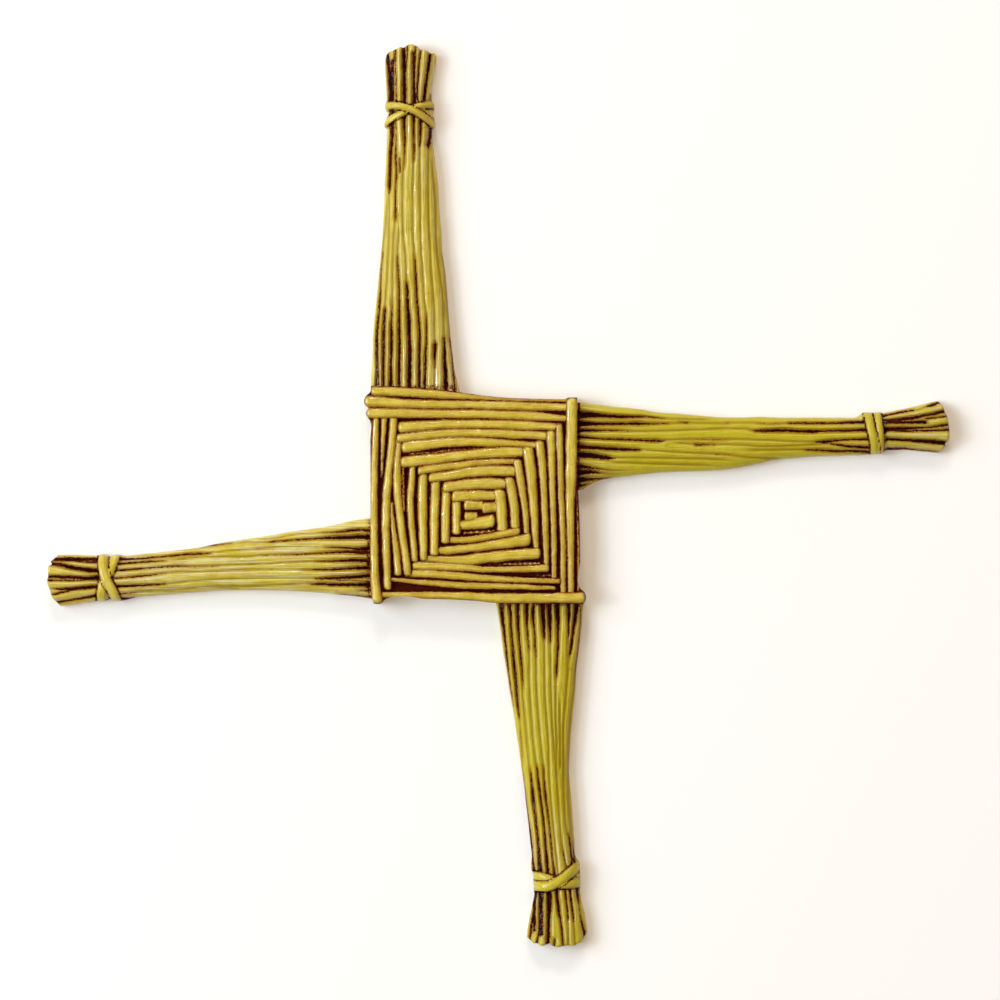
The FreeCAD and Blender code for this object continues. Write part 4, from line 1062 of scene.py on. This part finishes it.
class Nodes:
    """Short calls for making the nodes of a material or of the world."""

    def __init__(self, owner):
        self.owner = owner
        owner.use_nodes = True
        self.tree = owner.node_tree
        self.tree.nodes.clear()

    def new(self, kind, inputs=None, **settings):
        node = self.tree.nodes.new(kind)
        for key, value in settings.items():
            setattr(node, key, value)
        for key, value in (inputs or {}).items():
            self.put(node.inputs[key], value)
        return node

    def put(self, socket, value):
        if isinstance(value, bpy.types.NodeSocket):
            self.tree.links.new(value, socket)
        else:
            socket.default_value = value

    def math(self, operation, a, b, clamp=False):
        node = self.new("ShaderNodeMath", {0: a, 1: b}, operation=operation, use_clamp=clamp)
        return node.outputs[0]

    def plus(self, a, b):
        return self.math("ADD", a, b)

    def minus(self, a, b):
        return self.math("SUBTRACT", a, b)

    def times(self, a, b):
        return self.math("MULTIPLY", a, b)

    def span(self, value, low, high, to_low=0.0, to_high=1.0):
        """The value taken from one range to another, smoothly and no further."""
        limits = {"From Min": low, "From Max": high, "To Min": to_low, "To Max": to_high}
        node = self.new("ShaderNodeMapRange", {"Value": value, **limits}, interpolation_type="SMOOTHSTEP")
        return node.outputs["Result"]

    def noise(self, vector, scale, detail=2.0, roughness=0.5):
        inputs = {"Vector": vector, "Scale": scale, "Detail": detail, "Roughness": roughness}
        return self.new("ShaderNodeTexNoise", inputs).outputs["Fac"]

    def mix(self, share, a, b):
        return self.new("ShaderNodeMix", {0: share, 6: a, 7: b}, data_type="RGBA").outputs[2]

    def attribute(self, name):
        return self.new("ShaderNodeAttribute", attribute_name=name).outputs["Fac"]


def casting_nodes():
    """The nodes of the casting's material, with the values that the layers of its paint share."""
    n = Nodes(bpy.data.materials.new("painted_casting"))
    n.place = n.new("ShaderNodeTexCoord").outputs["Object"]
    for name in PAINT_VALUES + ("bare",):
        setattr(n, name, n.attribute(name))
    n.patches = n.noise(n.place, 260.0)
    n.ragged = n.noise(n.place, 2300.0, 1.0)
    n.rough_edge = n.noise(reed_place(n, 0.22, 0.8, 7.3), 1.0, 3.0, 0.6)
    n.streaks = n.noise(reed_place(n, 0.05, 1.0, 7.3), 0.9, 3.0, 0.6)
    return n


def reed_place(n, along, across, apart):
    """A place on its reed, at these scales along and across it and from one reed to the next."""
    inputs = {0: n.times(n.run, along), 1: n.times(n.side, across), 2: n.times(n.reed, apart)}
    return n.new("ShaderNodeCombineXYZ", inputs).outputs[0]


def wash_layer(n):
    """Where the wash lies, ragged along the grooves, and its colour, redder at the edge."""
    edge = n.plus(n.slot, n.times(n.minus(n.rough_edge, 0.5), 2.4))
    edge = n.plus(edge, n.times(n.minus(n.ragged, 0.5), 2.2))
    dark = n.mix(n.brown, WASH_DARK, WASH_DEEP)
    dark = n.mix(n.times(n.span(n.patches, 0.5, 0.62), 0.6), dark, WASH_MAROON)
    return n.span(edge, -0.4, 0.4), n.mix(n.span(edge, 0.0, 0.75), WASH_RED, dark)


def crown_paint(n, sheen_streaks):
    """The colour of the crowns: streaked and patched olive, with the pale streaks of painted sheen on it."""
    tone = n.plus(n.times(n.streaks, 0.6), n.times(n.patches, 0.4))
    paint = n.mix(n.span(tone, 0.40, 0.60), PAINT_OLIVE, PAINT_CROWN)
    tan = n.span(n.noise(n.place, 120.0, 3.0), 0.5, 0.72)
    paint = n.mix(n.times(tan, 0.4), paint, PAINT_TAN)
    reed_tone = n.new("ShaderNodeTexWhiteNoise", {"W": n.reed}, noise_dimensions="1D").outputs["Value"]
    paint = n.mix(n.times(reed_tone, 0.25), paint, PAINT_OLIVE)
    # greener and darker paint: a greener tone, with painted shade on the bundles farther from the lights
    paint = n.mix(n.green, paint, PAINT_GREEN_AND_SHADE)
    return n.mix(sheen_streaks, paint, PAINTED_SHEEN)


def paint_layer(n):
    """The colour of the paint: crowns, darker hollows that are painted shade, a stain beside the grooves,
    and specks.
    """
    # pale streaks along the reeds: painted sheen, standing in for the lights' reflection
    sheen_lines = n.noise(reed_place(n, 0.016, 1.3, 3.1), 1.0)
    sheen_streaks = n.times(n.span(sheen_lines, 0.5, 0.62), n.pale)
    # darker paint in the hollows and on the sides of strands and cords: painted shade, lighter under the
    # painted sheen
    shaded = n.times(n.span(n.hollow, 0.25, 1.0), 0.85)
    shaded = n.times(shaded, n.minus(1.0, n.times(sheen_streaks, 0.7)))
    paint = n.mix(shaded, crown_paint(n, sheen_streaks), n.mix(n.brown, VALLEY_PAINT_AND_SHADE, PAINT_BROWN))
    brushed = n.plus(n.times(n.rough_edge, 2.6), n.times(n.ragged, 2.4))
    stain = n.times(n.span(n.plus(n.slot, brushed), -0.6, 1.9), n.span(n.brown, 0.0, 1.0, 0.42, 0.72))
    paint = n.mix(stain, paint, n.mix(n.brown, PAINT_TAN, PAINT_BROWN))
    specks = n.span(n.noise(n.place, 900.0, 1.0), 0.66, 0.76)
    return n.mix(n.times(specks, 0.3), paint, PAINT_BROWN)


def paint_relief(n):
    """Bumps of the paint: lumps and grain everywhere, and streaks along the reeds where it is painted."""
    relief = n.plus(n.times(n.noise(n.place, 420.0), 0.8), n.times(n.noise(n.place, 1500.0), 0.45))
    relief = n.plus(relief, n.times(n.streaks, n.span(n.bare, 0.0, 1.0, 0.9, 0.0)))
    return n.new("ShaderNodeBump", {"Strength": 0.85, "Distance": 0.00032, "Height": relief}).outputs[0]


def varnish_layer(n, wash, dull):
    """How much varnish there is: most on the paint, and some beads of it on the wash."""
    varnish = n.times(n.span(dull, 0.0, 1.0, 0.72, 0.01), n.gloss)
    beads = n.span(n.noise(n.place, 1900.0, 1.0), 0.56, 0.62, 0.0, 0.5)
    return n.math("ADD", varnish, n.times(beads, n.minus(wash, n.bare)), clamp=True)


def painted_material():
    """Olive paint over the casting, a brown wash left in the grooves and a clear gloss over both."""
    n = casting_nodes()
    wash, wash_color = wash_layer(n)
    dull = n.math("MAXIMUM", wash, n.bare)
    color = n.mix(wash, paint_layer(n), wash_color)
    resin = n.mix(n.span(n.noise(n.place, 70.0, 3.0), 0.38, 0.62), RESIN, RESIN_PALE)
    shader = n.new("ShaderNodeBsdfPrincipled", {
        "Base Color": n.mix(n.bare, color, resin), "Roughness": n.span(dull, 0.0, 1.0, 0.34, 0.6),
        "Normal": paint_relief(n), "Coat Weight": varnish_layer(n, wash, dull),
        "Coat Roughness": 0.10, "Coat IOR": 1.5, "Specular IOR Level": 0.02,
    })
    n.new("ShaderNodeOutputMaterial", {"Surface": shader.outputs[0]})
    return n.owner


def wall_material():
    """A white wall that can only be seen from the front, so that the back of the cross shows."""
    n = Nodes(bpy.data.materials.new("wall"))
    seen = n.new("ShaderNodeLightPath").outputs["Is Camera Ray"]
    paint = n.new("ShaderNodeBsdfDiffuse", {"Color": WALL_PAINT}).outputs[0]
    glow = n.new("ShaderNodeEmission", {"Color": WALL_LIGHT, "Strength": n.times(seen, WALL_GLOW)})
    lit = n.new("ShaderNodeAddShader", {0: paint, 1: glow.outputs[0]}).outputs[0]
    clear = n.new("ShaderNodeBsdfTransparent").outputs[0]
    facing = n.new("ShaderNodeNewGeometry").outputs["Backfacing"]
    both = n.new("ShaderNodeMixShader", {0: facing, 1: lit, 2: clear}).outputs[0]
    n.new("ShaderNodeOutputMaterial", {"Surface": both})
    return n.owner


def opening():
    """Where the wall is left out: the outline of the cross, drawn in a little, in millimetres."""
    inset = WALL_OVERLAP / PIXEL
    middle = np.mean([point for points in ALONG_SQUARE for point in points], 0)
    loop = []
    for arm, corner in zip(ARMS, ALONG_SQUARE):
        out = outward(arm)
        ends = [arm["end"][k][1] - inset * out for k in (0, -1)]
        low_along, high_along = (np.linspace(arm["root"], end, OPENING_SIDE) for end in ends)
        low = bundle_sides(arm, low_along)[0] + inset
        high = bundle_sides(arm, high_along)[1] - inset
        tip = np.linspace(low[-1], high[-1], OPENING_TIP)[1:-1]
        along = np.concatenate([low_along, curve(arm["end"], tip, 1) - inset * out, high_along[::-1]])
        across = np.concatenate([low, tip, high[::-1]])
        points = list(zip(*turned(arm, along, across)))
        loop += points if arm in (TOP_ARM, RIGHT_ARM) else points[::-1]
        for x, y in corner:
            away = np.array([x, y]) - middle
            side = int(np.argmax(np.abs(away)))
            away = np.sign(away) * inset * np.eye(2)[side]
            loop.append((x - away[0], y - away[1]))
    return np.stack(to_mm(*np.array(loop).T), 1)


def wall():
    """The wall, open behind the cross so that light reaches its back too."""
    rim = np.array([(-1, -1), (1, -1), (1, 1), (-1, 1)]) * WALL_REACH
    inner = opening()
    corners = [(x * MM, WALL_GAP, z * MM) for x, z in np.concatenate([rim, inner])]
    mesh = bpy.data.meshes.new("wall")
    mesh.from_pydata(corners, [], plate(rim, inner))
    plane = add_to_scene("wall", mesh)
    mesh.materials.append(wall_material())


def area_light(name, place, width, height, power, color):
    """A rectangular light that faces the cross."""
    data = bpy.data.lights.new(name, "AREA")
    data.shape = "RECTANGLE"
    data.size = width
    data.size_y = height
    data.energy = power
    data.color = color
    light = add_to_scene(name, data)
    light.location = place
    light.rotation_euler = (-light.location).to_track_quat("-Z", "Y").to_euler()


def camera():
    """The camera, straight in front of the middle of the photograph."""
    data = bpy.data.cameras.new("camera")
    data.sensor_width = SENSOR
    data.lens = SENSOR * (CAMERA_DISTANCE - RELIEF_PLANE) / (PHOTO_SIZE * PIXEL * MM)
    data.clip_start = 0.01
    data.clip_end = 20.0
    eye = add_to_scene("camera", data)
    x, z = to_mm(PHOTO_SIZE / 2, PHOTO_SIZE / 2)
    eye.location = (x * MM, -CAMERA_DISTANCE, z * MM)
    eye.rotation_euler = (math.pi / 2, 0, 0)
    bpy.context.scene.camera = eye


def lighting():
    for light in LIGHTS:
        area_light(*light)
    world = bpy.data.worlds.new("room")
    n = Nodes(world)
    seen = n.new("ShaderNodeLightPath").outputs["Is Camera Ray"]
    background = n.new("ShaderNodeBackground", {"Color": n.mix(seen, ROOM_LIGHT, ROOM_SEEN)})
    n.new("ShaderNodeOutputWorld", {"Surface": background.outputs[0]})
    bpy.context.scene.world = world
    bpy.context.scene.view_settings.view_transform = "Standard"


camera()
lighting()
wall()
casting = casting_object([arm_shell(arm) for arm in ARMS] + [square_shell()])
casting.data.materials.append(painted_material())
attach(casting, "root")
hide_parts("cross")
